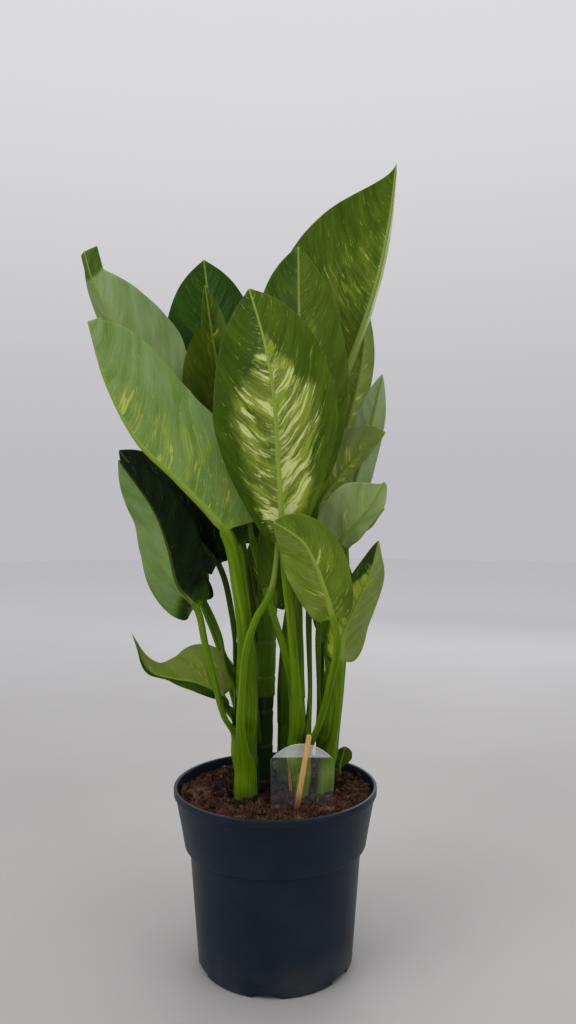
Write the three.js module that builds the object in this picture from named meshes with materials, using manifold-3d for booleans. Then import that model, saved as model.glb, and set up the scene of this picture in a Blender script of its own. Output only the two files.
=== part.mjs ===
// A potted dieffenbachia: five canes with their leaves in a round nursery pot.
// Millimetres, +Z up, +Y away from the front, origin at the centre of the pot's underside.
import * as THREE from "three";
import { mergeVertices } from "three/addons/utils/BufferGeometryUtils.js";
import Module from "manifold-3d";

const wasm = await Module();
wasm.setup();

const potHeight = 204;
const rimRadius = 120;
const lipHeight = 8;
const baseRadius = 91;
const collarFoot = 136;
const collarTaper = 13;
const collarStep = 6;
const wall = 2.4;
const potSides = 40;
const floorDiscRadius = 48;
const footRingWidth = 12;
const notchCount = 6;
const notchWidth = 30;
const notchHeight = 5;
const notchTurn = -0.1;
const drainRadius = 6;
const drainCircle = 63;
const soilLevel = 186;
const soilHeap = 8;
const soilLump = 3;
const rootDepth = 60;
const gap = 0.35;
const bladeThickness = 1.1;
const rippleHeight = 2;
const rippleTurns = 13;
const scarSpacing = 48;
const scarDepth = 0.8;
const caneSides = 12;
const stickLength = 132;
const stickWidth = 6;
const stickThickness = 2.2;
const stickLean = 0.17;
const stickFoot = [17, -40, 142];
const tagWidth = 72;
const tagShoulder = 74;
const tagHeight = 92;
const tagThickness = 1;
const tagLean = -0.05;
const tagFoot = [31, -30, 168];
const seedlingFoot = [80, 56, 165];
const seedlingStalk = 2.2;
const drySheathLevel = 193;
const drySheathThickness = 1;
const drySheathTurn = 0.4;

const collarRadius = rimRadius - collarTaper;
const bodyRadius = collarRadius - collarStep;

const green = 0x4f8a2c;
const shadedGreen = 0x24501f;
const caneGreen = 0x3c6a26;
const potBlue = 0x1d2b38;
const soilBrown = 0x35231a;
const stickTan = 0xc58a4a;
const tagWhite = 0xd8dcda;

// Each cane: its axis at the soil, a point half way, its top, and the radius at soil and top.
const canes = {
  left: { foot: [-36, 8], middle: [-35, 3, 262], top: [-34, -4, 335], radius: [15, 12] },
  centre: { foot: [-17, 46], middle: [-15, 40, 300], top: [-10, 34, 428], radius: [13.5, 11] },
  inner: { foot: [10, 55], middle: [10, 50, 240], top: [10, 45, 292], radius: [9.5, 8] },
  right: { foot: [28, 10], middle: [27, 3, 262], top: [24, -6, 335], radius: [12, 9.5] },
  outer: { foot: [58, 18], middle: [61, 16, 245], top: [66, 14, 300], radius: [12, 9.5] },
};

// Each leaf: seat is the height and compass angle where its sheath clasps the cane, or the
// cane's top where no angle is given; stalk leads to the blade; rib runs from the blade's base
// to its tip; face and tipFace point out of the upper side; half holds the half widths and fold
// the rise of each half in degrees, first the half on the minus side and then the plus side.
// full below 1 fills each half out towards a blunt tip, and tipShare leaves the tip square.
// baseShare below 1 narrows the blade towards its base, and endShare towards its tip.
const leaves = {
  leaf_front_centre: {
    cane: "right",
    seat: [232, -112],
    stalk: [[25, -28, 280], [24, -47, 324], [18, -73, 407], [13, -91, 452]],
    rib: [[10, -100, 491], [5, -100, 570], [0, -94, 648], [-11, -84, 712], [-28, -70, 772]],
    face: [0, 1, 0.1],
    tipFace: [0, 1, 0],
    half: [70, 70],
    fold: [6, 8],
    full: [0.95, 0.85],
    baseShare: 0.45,
    stalkRadius: 4.8,
  },
  leaf_front_left: {
    cane: "left",
    seat: [288, -80],
    stalk: [[-33, -28, 335], [-34, -42, 380], [-40, -60, 440]],
    rib: [[-53, -76, 504], [-104, -70, 561], [-150, -58, 604], [-190, -44, 672], [-215, -33, 745]],
    face: [0.6, 0.75, 0.35],
    tipFace: [0.6, 0.75, 0.3],
    half: [48, 80],
    fold: [52, 42],
    full: [1, 0.7],
    tipShare: 0.2,
    stalkRadius: 8,
  },
  leaf_upper_left: {
    cane: "left",
    seat: [335],
    stalk: [[-36, 0, 400], [-46, 14, 485], [-66, 34, 540]],
    rib: [[-103, 54, 593], [-162, 60, 687], [-208, 60, 770], [-233, 60, 822], [-243, 60, 856]],
    face: [0.3, 0.9, 0.3],
    tipFace: [0.3, 0.9, 0.3],
    half: [46, 73],
    fold: [34, 4],
    full: [1, 1.5],
    baseShare: 0.5,
    tipShare: 0.26,
    stalkRadius: 4.6,
  },
  leaf_tallest: {
    cane: "centre",
    seat: [428],
    stalk: [[8, 34, 520], [34, 34, 590]],
    rib: [[58, 32, 640], [89, 30, 710], [121, 32, 800], [139, 36, 880], [149, 38, 957]],
    face: [-0.2, 1, 0.1],
    tipFace: [-0.1, 1, 0.1],
    half: [118, 32],
    fold: [6, 72],
    full: [1.5, 1],
    stalkRadius: 4.8,
  },
  leaf_upper_right: {
    cane: "right",
    seat: [335],
    stalk: [[26, -12, 420], [32, -20, 500]],
    rib: [[36, -26, 557], [34, -28, 650], [28, -26, 750], [27, -20, 835]],
    face: [0, 1, 0],
    tipFace: [0, 1, 0.1],
    half: [60, 56],
    fold: [12, 10],
    full: [0.82, 0.9],
    baseShare: 0.7,
    stalkRadius: 4.6,
  },
  leaf_top_left: {
    cane: "centre",
    seat: [320, 120],
    stalk: [[-26, 62, 380], [-42, 72, 480], [-60, 76, 560]],
    rib: [[-68, 76, 605], [-80, 78, 690], [-86, 80, 780], [-94, 82, 852]],
    face: [0.1, -1, 0.2],
    tipFace: [0, -1, 0.1],
    half: [62, 64],
    fold: [8, 8],
    full: [0.95, 0.95],
    stalkRadius: 4,
  },
  leaf_young_rolled: {
    cane: "centre",
    seat: [345, 170],
    stalk: [[-34, 36, 420], [-46, 30, 540]],
    rib: [[-58, 24, 640], [-74, 22, 720], [-86, 20, 802]],
    face: [0.3, -1, 0],
    tipFace: [0.5, -1, 0],
    half: [24, 24],
    fold: [40, 40],
    full: [1, 1],
    stalkRadius: 3.6,
  },
  leaf_inner_left: {
    cane: "centre",
    seat: [270, -165],
    stalk: [[-38, 38, 340], [-50, 36, 450]],
    rib: [[-58, 36, 556], [-72, 38, 656], [-88, 38, 760]],
    face: [0.2, -1, 0.2],
    tipFace: [0.2, -1, 0.1],
    half: [42, 46],
    fold: [12, 12],
    full: [0.9, 0.9],
    stalkRadius: 3.8,
  },
  leaf_left_low: {
    cane: "left",
    seat: [242, -150],
    stalk: [[-60, -16, 286], [-70, -30, 330], [-80, -38, 376]],
    rib: [[-89, -41, 416], [-110, -41, 442], [-122, -39, 486], [-138, -35, 526], [-181, -28, 586]],
    face: [0.4, 0.9, 0.1],
    tipFace: [0.5, 0.8, 0.2],
    half: [44, 38],
    fold: [6, 36],
    full: [0.9, 1],
    stalkRadius: 4,
  },
  leaf_left_shaded: {
    cane: "left",
    seat: [300, 125],
    stalk: [[-56, 4, 340], [-68, 0, 382]],
    rib: [[-84, -6, 419], [-112, -8, 462], [-140, -6, 506], [-166, -2, 550]],
    face: [0.5, 0.8, 0.3],
    tipFace: [0.5, 0.8, 0.3],
    half: [36, 26],
    fold: [12, 12],
    full: [0.9, 0.9],
    stalkRadius: 3.6,
  },
  leaf_left_back: {
    cane: "left",
    seat: [262, 100],
    stalk: [[-46, 28, 320], [-54, 31, 400]],
    rib: [[-70, 30, 461], [-112, 38, 510], [-156, 44, 558], [-196, 46, 603]],
    face: [0.4, 0.8, 0.4],
    tipFace: [0.4, 0.8, 0.4],
    half: [46, 46],
    fold: [12, 12],
    full: [0.9, 0.9],
    stalkRadius: 3.8,
  },
  leaf_left_small: {
    cane: "left",
    seat: [262, 162],
    stalk: [[-59, 5, 292]],
    rib: [[-62, 4, 304], [-92, 2, 322], [-122, 0, 328], [-150, -2, 338], [-170, -4, 382]],
    face: [0.1, -0.35, 1],
    tipFace: [0.6, -0.3, 0.8],
    half: [52, 26],
    fold: [44, 10],
    full: [1.5, 1.3],
    endShare: 0.3,
    stalkRadius: 3.2,
  },
  leaf_inner_front: {
    cane: "left",
    seat: [204, -88],
    stalk: [[-40, -28, 275], [-37, -42, 330], [-32, -54, 372], [-20, -64, 408]],
    rib: [[-4, -70, 438], [4, -73, 500], [8, -72, 580]],
    face: [0, 1, 0],
    tipFace: [0, 1, 0],
    half: [22, 24],
    fold: [12, 12],
    full: [1, 1],
    stalkRadius: 4.2,
  },
  leaf_centre_left: {
    cane: "right",
    seat: [282, -95],
    stalk: [[12, -42, 364], [-4, -48, 416], [-14, -50, 455]],
    rib: [[-25, -52, 494], [-32, -54, 560], [-38, -52, 630]],
    face: [0.1, 1, 0.1],
    tipFace: [0.1, 1, 0.1],
    half: [34, 34],
    fold: [8, 8],
    full: [0.9, 0.9],
    stalkRadius: 4,
  },
  leaf_front_low: {
    cane: "right",
    seat: [214, -42],
    stalk: [[52, -44, 290], [61, -80, 340], [67, -110, 388]],
    rib: [[62, -117, 414], [54, -120, 443], [44, -121, 470], [31, -120, 494], [0, -113, 516]],
    face: [0.1, 1, 0.1],
    tipFace: [0, 0.9, 0.4],
    half: [34, 33],
    fold: [6, 8],
    full: [0.85, 0.8],
    baseShare: 0.8,
    stalkRadius: 4,
  },
  leaf_right_middle: {
    cane: "right",
    seat: [250, 0],
    stalk: [[41, 0, 310], [40, -4, 423]],
    rib: [[50, 3, 528], [77, 3, 570], [104, 2, 600], [131, 0, 621]],
    face: [-0.1, 1, 0.1],
    tipFace: [-0.1, 1, 0.1],
    half: [38, 13],
    fold: [8, 8],
    full: [0.8, 0.9],
    stalkRadius: 3.8,
  },
  leaf_right_front: {
    cane: "outer",
    seat: [278, -100],
    stalk: [[64, -8, 330], [60, -30, 410]],
    rib: [[72, -52, 490], [90, -58, 513], [106, -58, 532], [123, -54, 560]],
    face: [-0.2, 0.9, 0.3],
    tipFace: [-0.2, 0.9, 0.3],
    half: [44, 18],
    fold: [8, 8],
    full: [1.7, 0.6],
    stalkRadius: 3.8,
  },
  leaf_right_under: {
    cane: "outer",
    seat: [262, 180],
    stalk: [[52, 6, 310], [52, -10, 400]],
    rib: [[68, -24, 474], [87, -28, 494], [107, -28, 512], [127, -26, 530]],
    face: [-0.4, 0.8, 0.5],
    tipFace: [-0.4, 0.8, 0.5],
    half: [24, 8],
    fold: [8, 8],
    full: [0.9, 0.9],
    stalkRadius: 3.4,
  },
  leaf_right_upper: {
    cane: "outer",
    seat: [236, 15],
    stalk: [[80, 18, 310], [87, 18, 420]],
    rib: [[86, 22, 520], [102, 24, 580], [118, 24, 640], [130, 24, 694]],
    face: [-0.1, 1, 0.1],
    tipFace: [-0.1, 1, 0.1],
    half: [24, 20],
    fold: [8, 10],
    full: [0.9, 0.9],
    stalkRadius: 3.6,
  },
  leaf_right_back: {
    cane: "outer",
    seat: [300],
    stalk: [[72, 30, 360], [84, 58, 440]],
    rib: [[82, 72, 600], [95, 76, 652], [109, 78, 714], [117, 78, 790]],
    face: [-0.1, 1, 0],
    tipFace: [-0.1, 1, 0],
    half: [30, 19],
    fold: [8, 8],
    full: [0.9, 0.9],
    stalkRadius: 3.6,
  },
  leaf_right_inner: {
    cane: "outer",
    seat: [246, 115],
    stalk: [[56, 36, 310], [58, 36, 400]],
    rib: [[66, 38, 480], [86, 42, 518], [102, 42, 550], [113, 40, 584]],
    face: [-0.4, 0.8, 0.4],
    tipFace: [-0.4, 0.8, 0.4],
    half: [26, 22],
    fold: [8, 8],
    full: [0.9, 0.9],
    stalkRadius: 3.4,
  },
  leaf_right_low: {
    cane: "outer",
    seat: [208, -75],
    stalk: [[70, -14, 270], [73, -42, 325]],
    rib: [[73, -62, 358], [76, -66, 392], [90, -68, 424], [106, -66, 460], [116, -60, 494]],
    face: [-0.3, 1, 0.2],
    tipFace: [-0.5, 0.8, 0.3],
    half: [22, 34],
    fold: [14, 14],
    full: [0.9, 1],
    stalkRadius: 4.2,
  },
  leaf_rear_right: {
    cane: "inner",
    seat: [226, 60],
    stalk: [[14, 82, 330], [22, 98, 420]],
    rib: [[30, 114, 490], [42, 126, 560], [52, 140, 626], [60, 158, 686]],
    face: [-0.2, -1, 0.3],
    tipFace: [-0.2, -0.8, 0.7],
    half: [52, 52],
    fold: [10, 10],
    full: [0.8, 0.8],
    stalkRadius: 4,
  },
  leaf_rear_left: {
    cane: "centre",
    seat: [216, 136],
    stalk: [[-36, 84, 330], [-46, 100, 420]],
    rib: [[-56, 112, 484], [-70, 122, 550], [-82, 132, 612], [-94, 148, 668]],
    face: [0.3, -1, 0.3],
    tipFace: [0.3, -0.8, 0.6],
    half: [50, 50],
    fold: [10, 10],
    full: [0.8, 0.8],
    stalkRadius: 4,
  },
  leaf_rear_side: {
    cane: "left",
    seat: [208, 75],
    stalk: [[-52, 54, 290], [-80, 84, 366]],
    rib: [[-108, 98, 426], [-127, 110, 460], [-148, 120, 494], [-168, 128, 526]],
    face: [0.5, -0.7, 0.6],
    tipFace: [0.4, -0.6, 0.8],
    half: [30, 42],
    fold: [12, 12],
    full: [0.8, 0.8],
    stalkRadius: 3.8,
  },
  leaf_rear_low: {
    cane: "outer",
    seat: [206, 65],
    stalk: [[72, 56, 270], [74, 74, 330]],
    rib: [[74, 84, 372], [75, 98, 408], [74, 112, 440], [71, 126, 470]],
    face: [-0.3, -0.8, 0.5],
    tipFace: [-0.3, -0.6, 0.7],
    half: [32, 30],
    fold: [12, 12],
    full: [0.8, 0.8],
    stalkRadius: 3.6,
  },
  leaf_rear_centre: {
    cane: "centre",
    seat: [246, 92],
    stalk: [[-16, 84, 310], [-14, 112, 366]],
    rib: [[-12, 128, 398], [-10, 146, 438], [-8, 160, 474], [-8, 172, 506]],
    face: [0, -0.9, 0.6],
    tipFace: [0, -0.6, 0.8],
    half: [38, 38],
    fold: [14, 14],
    full: [0.8, 0.8],
    stalkRadius: 3.6,
  },
  leaf_rear_inner: {
    cane: "inner",
    seat: [292],
    stalk: [[12, 58, 370], [22, 76, 450]],
    rib: [[32, 84, 520], [42, 90, 600], [50, 94, 680], [54, 96, 760]],
    face: [-0.2, 1, 0.2],
    tipFace: [-0.2, 1, 0.1],
    half: [38, 38],
    fold: [8, 8],
    full: [0.8, 0.8],
    stalkRadius: 3.8,
  },
};

const shaded = [
  "leaf_left_shaded",
  "leaf_left_back",
  "leaf_top_left",
  "leaf_young_rolled",
  "leaf_inner_left",
];

// Along the blade: [place, half width share, forward sweep share].
const bladeRows = [
  [0.05, 0.5, -0.5],
  [0.14, 0.84, -0.24],
  [0.26, 0.98, -0.06],
  [0.4, 1, 0.08],
  [0.54, 0.94, 0.18],
  [0.68, 0.8, 0.26],
  [0.8, 0.59, 0.3],
  [0.9, 0.33, 0.32],
  [0.96, 0.14, 0.3],
  [1, 0.015, 0],
];
const stalkRows = [0, 0.12, 0.32, 0.56, 0.8, 1];
const stalkAcross = [-1, -0.72, -0.28, 0.28, 0.72, 1];
const stalkTop = [0.2, 0.6, 0.6, 0.6, 0.6, 0.2];
const stalkUnder = [-0.2, -0.72, -0.97, -0.97, -0.72, -0.2];

const vector = (p) => new THREE.Vector3(p[0], p[1], p[2]);
const mix = (a, b, t) => a + (b - a) * t;
const smooth = THREE.MathUtils.smoothstep;
const degrees = (d) => (d * Math.PI) / 180;

// A closed skin over rings of points that run clockwise as seen from the last ring.
// Both faces of a thin blade get the same diagonals.
function loft(rings) {
  const count = rings[0].length;
  const half = count / 2;
  const positions = rings.flat().flatMap((p) => [p.x, p.y, p.z]);
  const index = [];
  for (let i = 0; i < rings.length - 1; i += 1) {
    for (let j = 0; j < count; j += 1) {
      const near = i * count + j;
      const beside = i * count + ((j + 1) % count);
      const far = near + count;
      const across = beside + count;
      if (j < half) index.push(near, far, across, near, across, beside);
      else index.push(near, far, beside, beside, far, across);
    }
  }
  const last = (rings.length - 1) * count;
  for (let j = 0; j < half - 1; j += 1) {
    const under = count - 1 - j;
    index.push(j, j + 1, under - 1, j, under - 1, under);
    index.push(last + j, last + under - 1, last + j + 1, last + j, last + under, last + under - 1);
  }
  const geometry = new THREE.BufferGeometry();
  geometry.setAttribute("position", new THREE.Float32BufferAttribute(positions, 3));
  geometry.setIndex(index);
  geometry.computeVertexNormals();
  return geometry;
}

// The ring plane at a tangent: side and up, with up as near to the face direction as it can be.
function plane(tangent, face) {
  const up = face.clone().addScaledVector(tangent, -face.dot(tangent)).normalize();
  return { side: up.clone().cross(tangent), up };
}

function caneCurve(cane) {
  const [x, y] = cane.foot;
  const below = new THREE.Vector3(x, y, soilLevel - rootDepth);
  const ground = new THREE.Vector3(x, y, soilLevel);
  return new THREE.CatmullRomCurve3([below, ground, vector(cane.middle), vector(cane.top)]);
}

// Where a cane's axis passes a height, and how thick the cane is there.
function caneAt(cane, height) {
  const curve = caneCurve(cane);
  let low = 0;
  let high = 1;
  for (let i = 0; i < 30; i += 1) {
    const middle = (low + high) / 2;
    if (curve.getPoint(middle).z < height) low = middle;
    else high = middle;
  }
  const share = THREE.MathUtils.clamp((height - soilLevel) / (cane.top[2] - soilLevel), 0, 1);
  return { point: curve.getPoint(low), radius: mix(cane.radius[0], cane.radius[1], share) };
}

// A round cane with a scar ring at each node; grow widens it, for the hole it stands in.
function caneSolid(cane, grow) {
  const scars = Math.round((cane.top[2] - soilLevel) / scarSpacing);
  const spacing = (cane.top[2] - soilLevel) / (scars + 0.6);
  const heights = [soilLevel - rootDepth - grow];
  const dents = [0];
  for (let i = 0; i <= scars; i += 1) {
    const at = soilLevel + 8 + spacing * i;
    heights.push(at - 2.5, at, at + 2.5);
    dents.push(0, scarDepth, 0);
  }
  heights.push(cane.top[2]);
  dents.push(0);
  const rings = heights.map((height, i) => {
    const at = caneAt(cane, height);
    const radius = at.radius - dents[i] * (grow ? 0 : 1) + grow;
    return Array.from({ length: caneSides }, (_, j) => {
      const angle = Math.PI - (j * 2 * Math.PI) / caneSides;
      return new THREE.Vector3(
        at.point.x + Math.cos(angle) * radius,
        at.point.y + Math.sin(angle) * radius,
        height,
      );
    });
  });
  return loft(rings);
}

// A leaf as one piece: clasping sheath, channelled stalk and folded blade with a raised rib.
function leafSolid(leaf) {
  const cane = canes[leaf.cane];
  const [height, compass] = leaf.seat;
  const seated = compass !== undefined;
  const bulk = leaf.stalkRadius * 0.75;
  const points = [];
  let inward = vector(leaf.face);
  if (seated) {
    const out = new THREE.Vector3(Math.cos(degrees(compass)), Math.sin(degrees(compass)), 0);
    for (const [rise, clear] of [[0, 0], [20, 0.6]]) {
      const at = caneAt(cane, height + rise);
      points.push(at.point.clone().addScaledVector(out, at.radius + gap + 0.6 * bulk + clear));
    }
    inward = out.negate();
  } else {
    for (const lift of [gap, 14]) points.push(vector(cane.top).setZ(cane.top[2] + lift));
  }
  points.push(...leaf.stalk.map(vector));
  const foot = points.length;
  points.push(...leaf.rib.map(vector));
  const whole = new THREE.CatmullRomCurve3(points);
  const total = whole.getLength();
  const stalk = new THREE.CatmullRomCurve3(points.slice(0, foot + 1)).getLength();
  const base = stalk / total;
  const claspRadius = seated ? caneAt(cane, height).radius + gap : 60;
  const rings = [];

  const ringAt = (place, make) => {
    const origin = whole.getPointAt(place);
    const tangent = whole.getTangentAt(place);
    const onStalk = Math.min(place / base, 1);
    const onBlade = Math.max((place - base) / (1 - base), 0);
    const face = inward
      .clone()
      .normalize()
      .lerp(vector(leaf.face).normalize(), smooth(onStalk, 0.15, 0.85))
      .lerp(vector(leaf.tipFace).normalize(), onBlade);
    const { side, up } = plane(tangent, face);
    const spot = (x, y, z) =>
      origin.clone().addScaledVector(side, x).addScaledVector(up, y).addScaledVector(tangent, z);
    rings.push(make(spot));
  };

  for (const share of stalkRows) {
    const sheath = 1 - smooth(share, 0.05, 0.6);
    const wide = leaf.stalkRadius * mix(1, seated ? 1.55 : 1.9, sheath);
    const thick = bulk * mix(1.1, seated ? 1 : 1.9, sheath);
    const clasp = (x) => (x * x * sheath) / (2 * claspRadius);
    ringAt(base * share, (spot) => {
      const top = stalkAcross.map((u, j) => spot(u * wide, stalkTop[j] * thick + clasp(u * wide), 0));
      const under = stalkAcross.map((u, j) => spot(u * wide, stalkUnder[j] * thick + clasp(u * wide), 0));
      return [...top, ...under.reverse()];
    });
  }

  for (const [place, share, sweep] of bladeRows) {
    const atBase = mix(leaf.baseShare ?? 1, 1, smooth(place, 0, 0.5));
    const filled = atBase * mix(1, leaf.endShare ?? 1, smooth(place, 0.25, 0.6));
    ringAt(base + (1 - base) * place, (spot) => {
      const top = [];
      const under = [];
      for (const u of [-1, -0.5, -0.1, 0.1, 0.5, 1]) {
        const sign = Math.sign(u);
        const pick = sign < 0 ? 0 : 1;
        const width = leaf.half[pick] * filled * Math.max(share ** leaf.full[pick], leaf.tipShare ?? 0);
        const ribHalf = Math.min(mix(leaf.stalkRadius, 1, place), width * 0.3);
        const onRib = Math.abs(u) < 0.2;
        const out = onRib ? ribHalf : Math.abs(u) * width;
        const rise = degrees(leaf.fold[pick]);
        const lift = onRib ? 0 : (out - ribHalf) * Math.sin(rise);
        const phase = place * rippleTurns + pick * 2;
        const ripple = onRib ? 0 : rippleHeight * u * u * share * Math.sin(phase);
        const across = ribHalf + (out - ribHalf) * Math.cos(rise);
        const forward = sweep * out * Math.abs(u);
        const deep = bladeThickness + (onRib ? mix(bulk * 0.9, 0.3, place) : 0);
        const lean = onRib ? 0 : rise;
        top.push(spot(sign * across, lift + ripple, forward));
        under.push(
          spot(sign * (across + deep * Math.sin(lean)), lift + ripple - deep * Math.cos(lean), forward),
        );
      }
      return [...top, ...under.reverse()];
    });
  }
  return loft(rings);
}

function toManifold(geometry) {
  const bare = geometry.clone();
  bare.deleteAttribute("normal");
  bare.deleteAttribute("uv");
  const merged = mergeVertices(bare, 1e-3);
  return new wasm.Manifold(
    new wasm.Mesh({
      numProp: 3,
      vertProperties: merged.attributes.position.array,
      triVerts: new Uint32Array(merged.index.array),
    }),
  );
}

function toGeometry(solid) {
  const made = solid.getMesh();
  const geometry = new THREE.BufferGeometry();
  geometry.setAttribute("position", new THREE.Float32BufferAttribute(made.vertProperties, 3));
  geometry.setIndex(new THREE.Uint32BufferAttribute(made.triVerts, 1));
  geometry.computeVertexNormals();
  return geometry;
}

// The lathe profile turned about the pot's axis, which lies along Z.
function turned(profile) {
  const points = profile.map(([x, z]) => new THREE.Vector2(x, z));
  return new THREE.LatheGeometry(points, potSides).rotateX(Math.PI / 2);
}

function potSolid() {
  const floor = notchHeight + wall;
  const foot = baseRadius - footRingWidth;
  const profile = [
    [0, 0],
    [floorDiscRadius - 2, 0],
    [floorDiscRadius, notchHeight],
    [foot - 2, notchHeight],
    [foot, 0],
    [baseRadius - 1.6, 0],
    [baseRadius, 1.8],
    [bodyRadius, collarFoot - 3],
    [collarRadius, collarFoot],
    [rimRadius - 2.2, potHeight - lipHeight - 1],
    [rimRadius, potHeight - lipHeight],
    [rimRadius, potHeight - 1],
    [rimRadius - 1, potHeight],
    [rimRadius - 3, potHeight],
    [rimRadius - 4.2, potHeight - 2],
    [collarRadius - wall, collarFoot + 2],
    [bodyRadius - wall, collarFoot - 1],
    [baseRadius - wall, floor + 2],
    [baseRadius - wall - 2, floor],
    [floorDiscRadius + 2, floor],
    [floorDiscRadius, wall],
    [0, wall],
  ];
  let pot = toManifold(turned(profile));
  for (let i = 0; i < notchCount; i += 1) {
    const angle = -Math.PI / 2 + notchTurn + (i * 2 * Math.PI) / notchCount;
    const notch = new THREE.BoxGeometry(34, notchWidth, notchHeight * 2);
    notch.translate(foot + 5, 0, 0).rotateZ(angle);
    const drain = new THREE.CylinderGeometry(drainRadius, drainRadius, 20, 8);
    drain.rotateX(Math.PI / 2).translate(drainCircle, 0, 8).rotateZ(angle);
    pot = pot.subtract(toManifold(notch)).subtract(toManifold(drain));
  }
  return toGeometry(pot);
}

// Radius of the pot's inside at a height above the raised floor.
function insideRadius(height) {
  const floor = notchHeight + wall + 2;
  const body = bodyRadius - wall;
  const collar = collarRadius - wall;
  if (height < collarFoot - 1) {
    return mix(baseRadius - wall, body, (height - floor) / (collarFoot - 1 - floor));
  }
  if (height < collarFoot + 2) return mix(body, collar, (height - collarFoot + 1) / 3);
  return mix(collar, rimRadius - 4.2, (height - collarFoot - 2) / (potHeight - collarFoot - 4));
}

// Peat that fills the pot, sunk round the canes, heaped towards the wall and lumpy on top.
function soilSolid() {
  const floor = notchHeight + wall + gap;
  const clear = 2 * gap;
  const edge = soilLevel + 2;
  const top = [108, 98, 86, 74, 60, 46, 32, 18];
  const profile = [
    [0, wall + gap],
    [floorDiscRadius - 1, wall + gap],
    [floorDiscRadius + 1, floor],
    [baseRadius - wall - 2 - clear, floor],
    [insideRadius(floor + 2) - clear, floor + 2.5],
    [insideRadius(collarFoot - 1.1) - clear, collarFoot - 0.5],
    [insideRadius(collarFoot + 2) - clear, collarFoot + 2.6],
    [insideRadius(edge) - clear, edge],
    ...top.map((radius) => [radius, soilLevel + soilHeap * smooth(radius, 40, 104)]),
    [0, soilLevel],
  ];
  const geometry = turned(profile);
  const place = geometry.attributes.position;
  for (let i = 0; i < place.count; i += 1) {
    const x = place.getX(i);
    const y = place.getY(i);
    const z = place.getZ(i);
    const inside = Math.hypot(x, y) < insideRadius(edge) - clear - 1;
    if (z < soilLevel - 1) continue;
    const lumps = Math.sin(x / 9 + 1) * Math.cos(y / 11) + 0.7 * Math.sin(x / 5.3 - y / 6.1);
    place.setZ(i, z + soilLump * lumps * (inside ? 1 : 0.4));
  }
  let soil = toManifold(geometry);
  for (const cane of Object.values(canes)) soil = soil.subtract(toManifold(caneSolid(cane, gap)));
  soil = soil.subtract(toManifold(stickSolid(gap)));
  soil = soil.subtract(toManifold(tagSolid(gap)));
  soil = soil.subtract(toManifold(seedlingHole()));
  return toGeometry(soil);
}

// The flat label stick with a rounded top, leaning to the right.
function stickSolid(grow) {
  const half = stickWidth / 2 + grow;
  const crown = stickLength - stickWidth / 2;
  const outline = new THREE.Shape();
  outline.moveTo(-half, -grow);
  outline.lineTo(half, -grow);
  outline.lineTo(half, crown);
  outline.absarc(0, crown, half, 0, Math.PI, false);
  outline.lineTo(-half, -grow);
  const depth = stickThickness + 2 * grow;
  const stick = new THREE.ExtrudeGeometry(outline, { depth, bevelEnabled: false, curveSegments: 6 });
  stick.translate(0, 0, -depth / 2).rotateX(Math.PI / 2).rotateY(stickLean);
  return stick.translate(...stickFoot);
}

// The bare plastic tag with an arched top, standing in the soil behind the stick.
function tagSolid(grow) {
  const half = tagWidth / 2 + grow;
  const outline = new THREE.Shape();
  outline.moveTo(-half, -grow);
  outline.lineTo(half, -grow);
  outline.lineTo(half, tagShoulder);
  outline.quadraticCurveTo(half * 0.55, tagHeight, 0, tagHeight);
  outline.quadraticCurveTo(-half * 0.55, tagHeight, -half, tagShoulder);
  outline.lineTo(-half, -grow);
  const depth = tagThickness + 2 * grow;
  const tag = new THREE.ExtrudeGeometry(outline, { depth, bevelEnabled: false, curveSegments: 8 });
  tag.translate(0, 0, -depth / 2).rotateX(Math.PI / 2 + tagLean);
  return tag.translate(...tagFoot);
}

// The straight hole in the soil that the seedling stands in.
function seedlingHole() {
  const long = 60;
  const [x, y, z] = seedlingFoot;
  const radius = seedlingStalk + gap;
  const hole = new THREE.CylinderGeometry(radius, radius, long, 10);
  return hole.rotateX(Math.PI / 2).translate(x, y, z - gap + long / 2);
}

// The seedling: a thin stalk out of the soil with one small round blade.
// Each row holds the rise, the half width and the half thickness.
function seedlingSolid() {
  const rows = [
    [0, 2, 1.6],
    [40, 1.8, 1.4],
    [44, 9, 0.6],
    [50, 12.5, 0.5],
    [57, 11, 0.5],
    [63, 5, 0.45],
    [65, 1, 0.4],
  ];
  const rings = rows.map(([rise, wide, thick]) => {
    const lean = Math.max(rise - 38, 0) * 0.25;
    const spot = (x, y) => vector(seedlingFoot).add(new THREE.Vector3(lean + x, y, rise));
    const top = stalkAcross.map((u) => spot(u * wide, thick * (1 - 0.6 * u * u)));
    const under = stalkAcross.map((u) => spot(u * wide, -thick * (1 - 0.6 * u * u)));
    return [...top, ...under.reverse()];
  });
  return loft(rings);
}

// The withered strip of an old sheath, curling up and away beside the right cane.
// Each row holds the rise, the half width and how far the strip has come off the cane.
function drySheathSolid() {
  const { point, radius } = caneAt(canes.right, drySheathLevel);
  const half = drySheathThickness / 2;
  const rows = [
    [0, 5, 0],
    [14, 4.5, 0.6],
    [28, 3.6, 1.6],
    [40, 2.4, 3.4],
    [48, 0.8, 6],
  ];
  const rings = rows.map(([rise, wide, out]) => {
    const reach = radius + gap + half + out;
    const spot = (x, y) => {
      const bend = (x * x) / (2 * radius);
      const offset = new THREE.Vector3(y + bend - reach, -2 - x, drySheathLevel + rise);
      offset.applyAxisAngle(new THREE.Vector3(0, 0, 1), drySheathTurn);
      return offset.add(new THREE.Vector3(point.x, point.y, 0));
    };
    const top = stalkAcross.map((u) => spot(u * wide, half));
    const under = stalkAcross.map((u) => spot(u * wide, -half));
    return [...top, ...under.reverse()];
  });
  return loft(rings);
}

const group = new THREE.Group();

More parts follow.
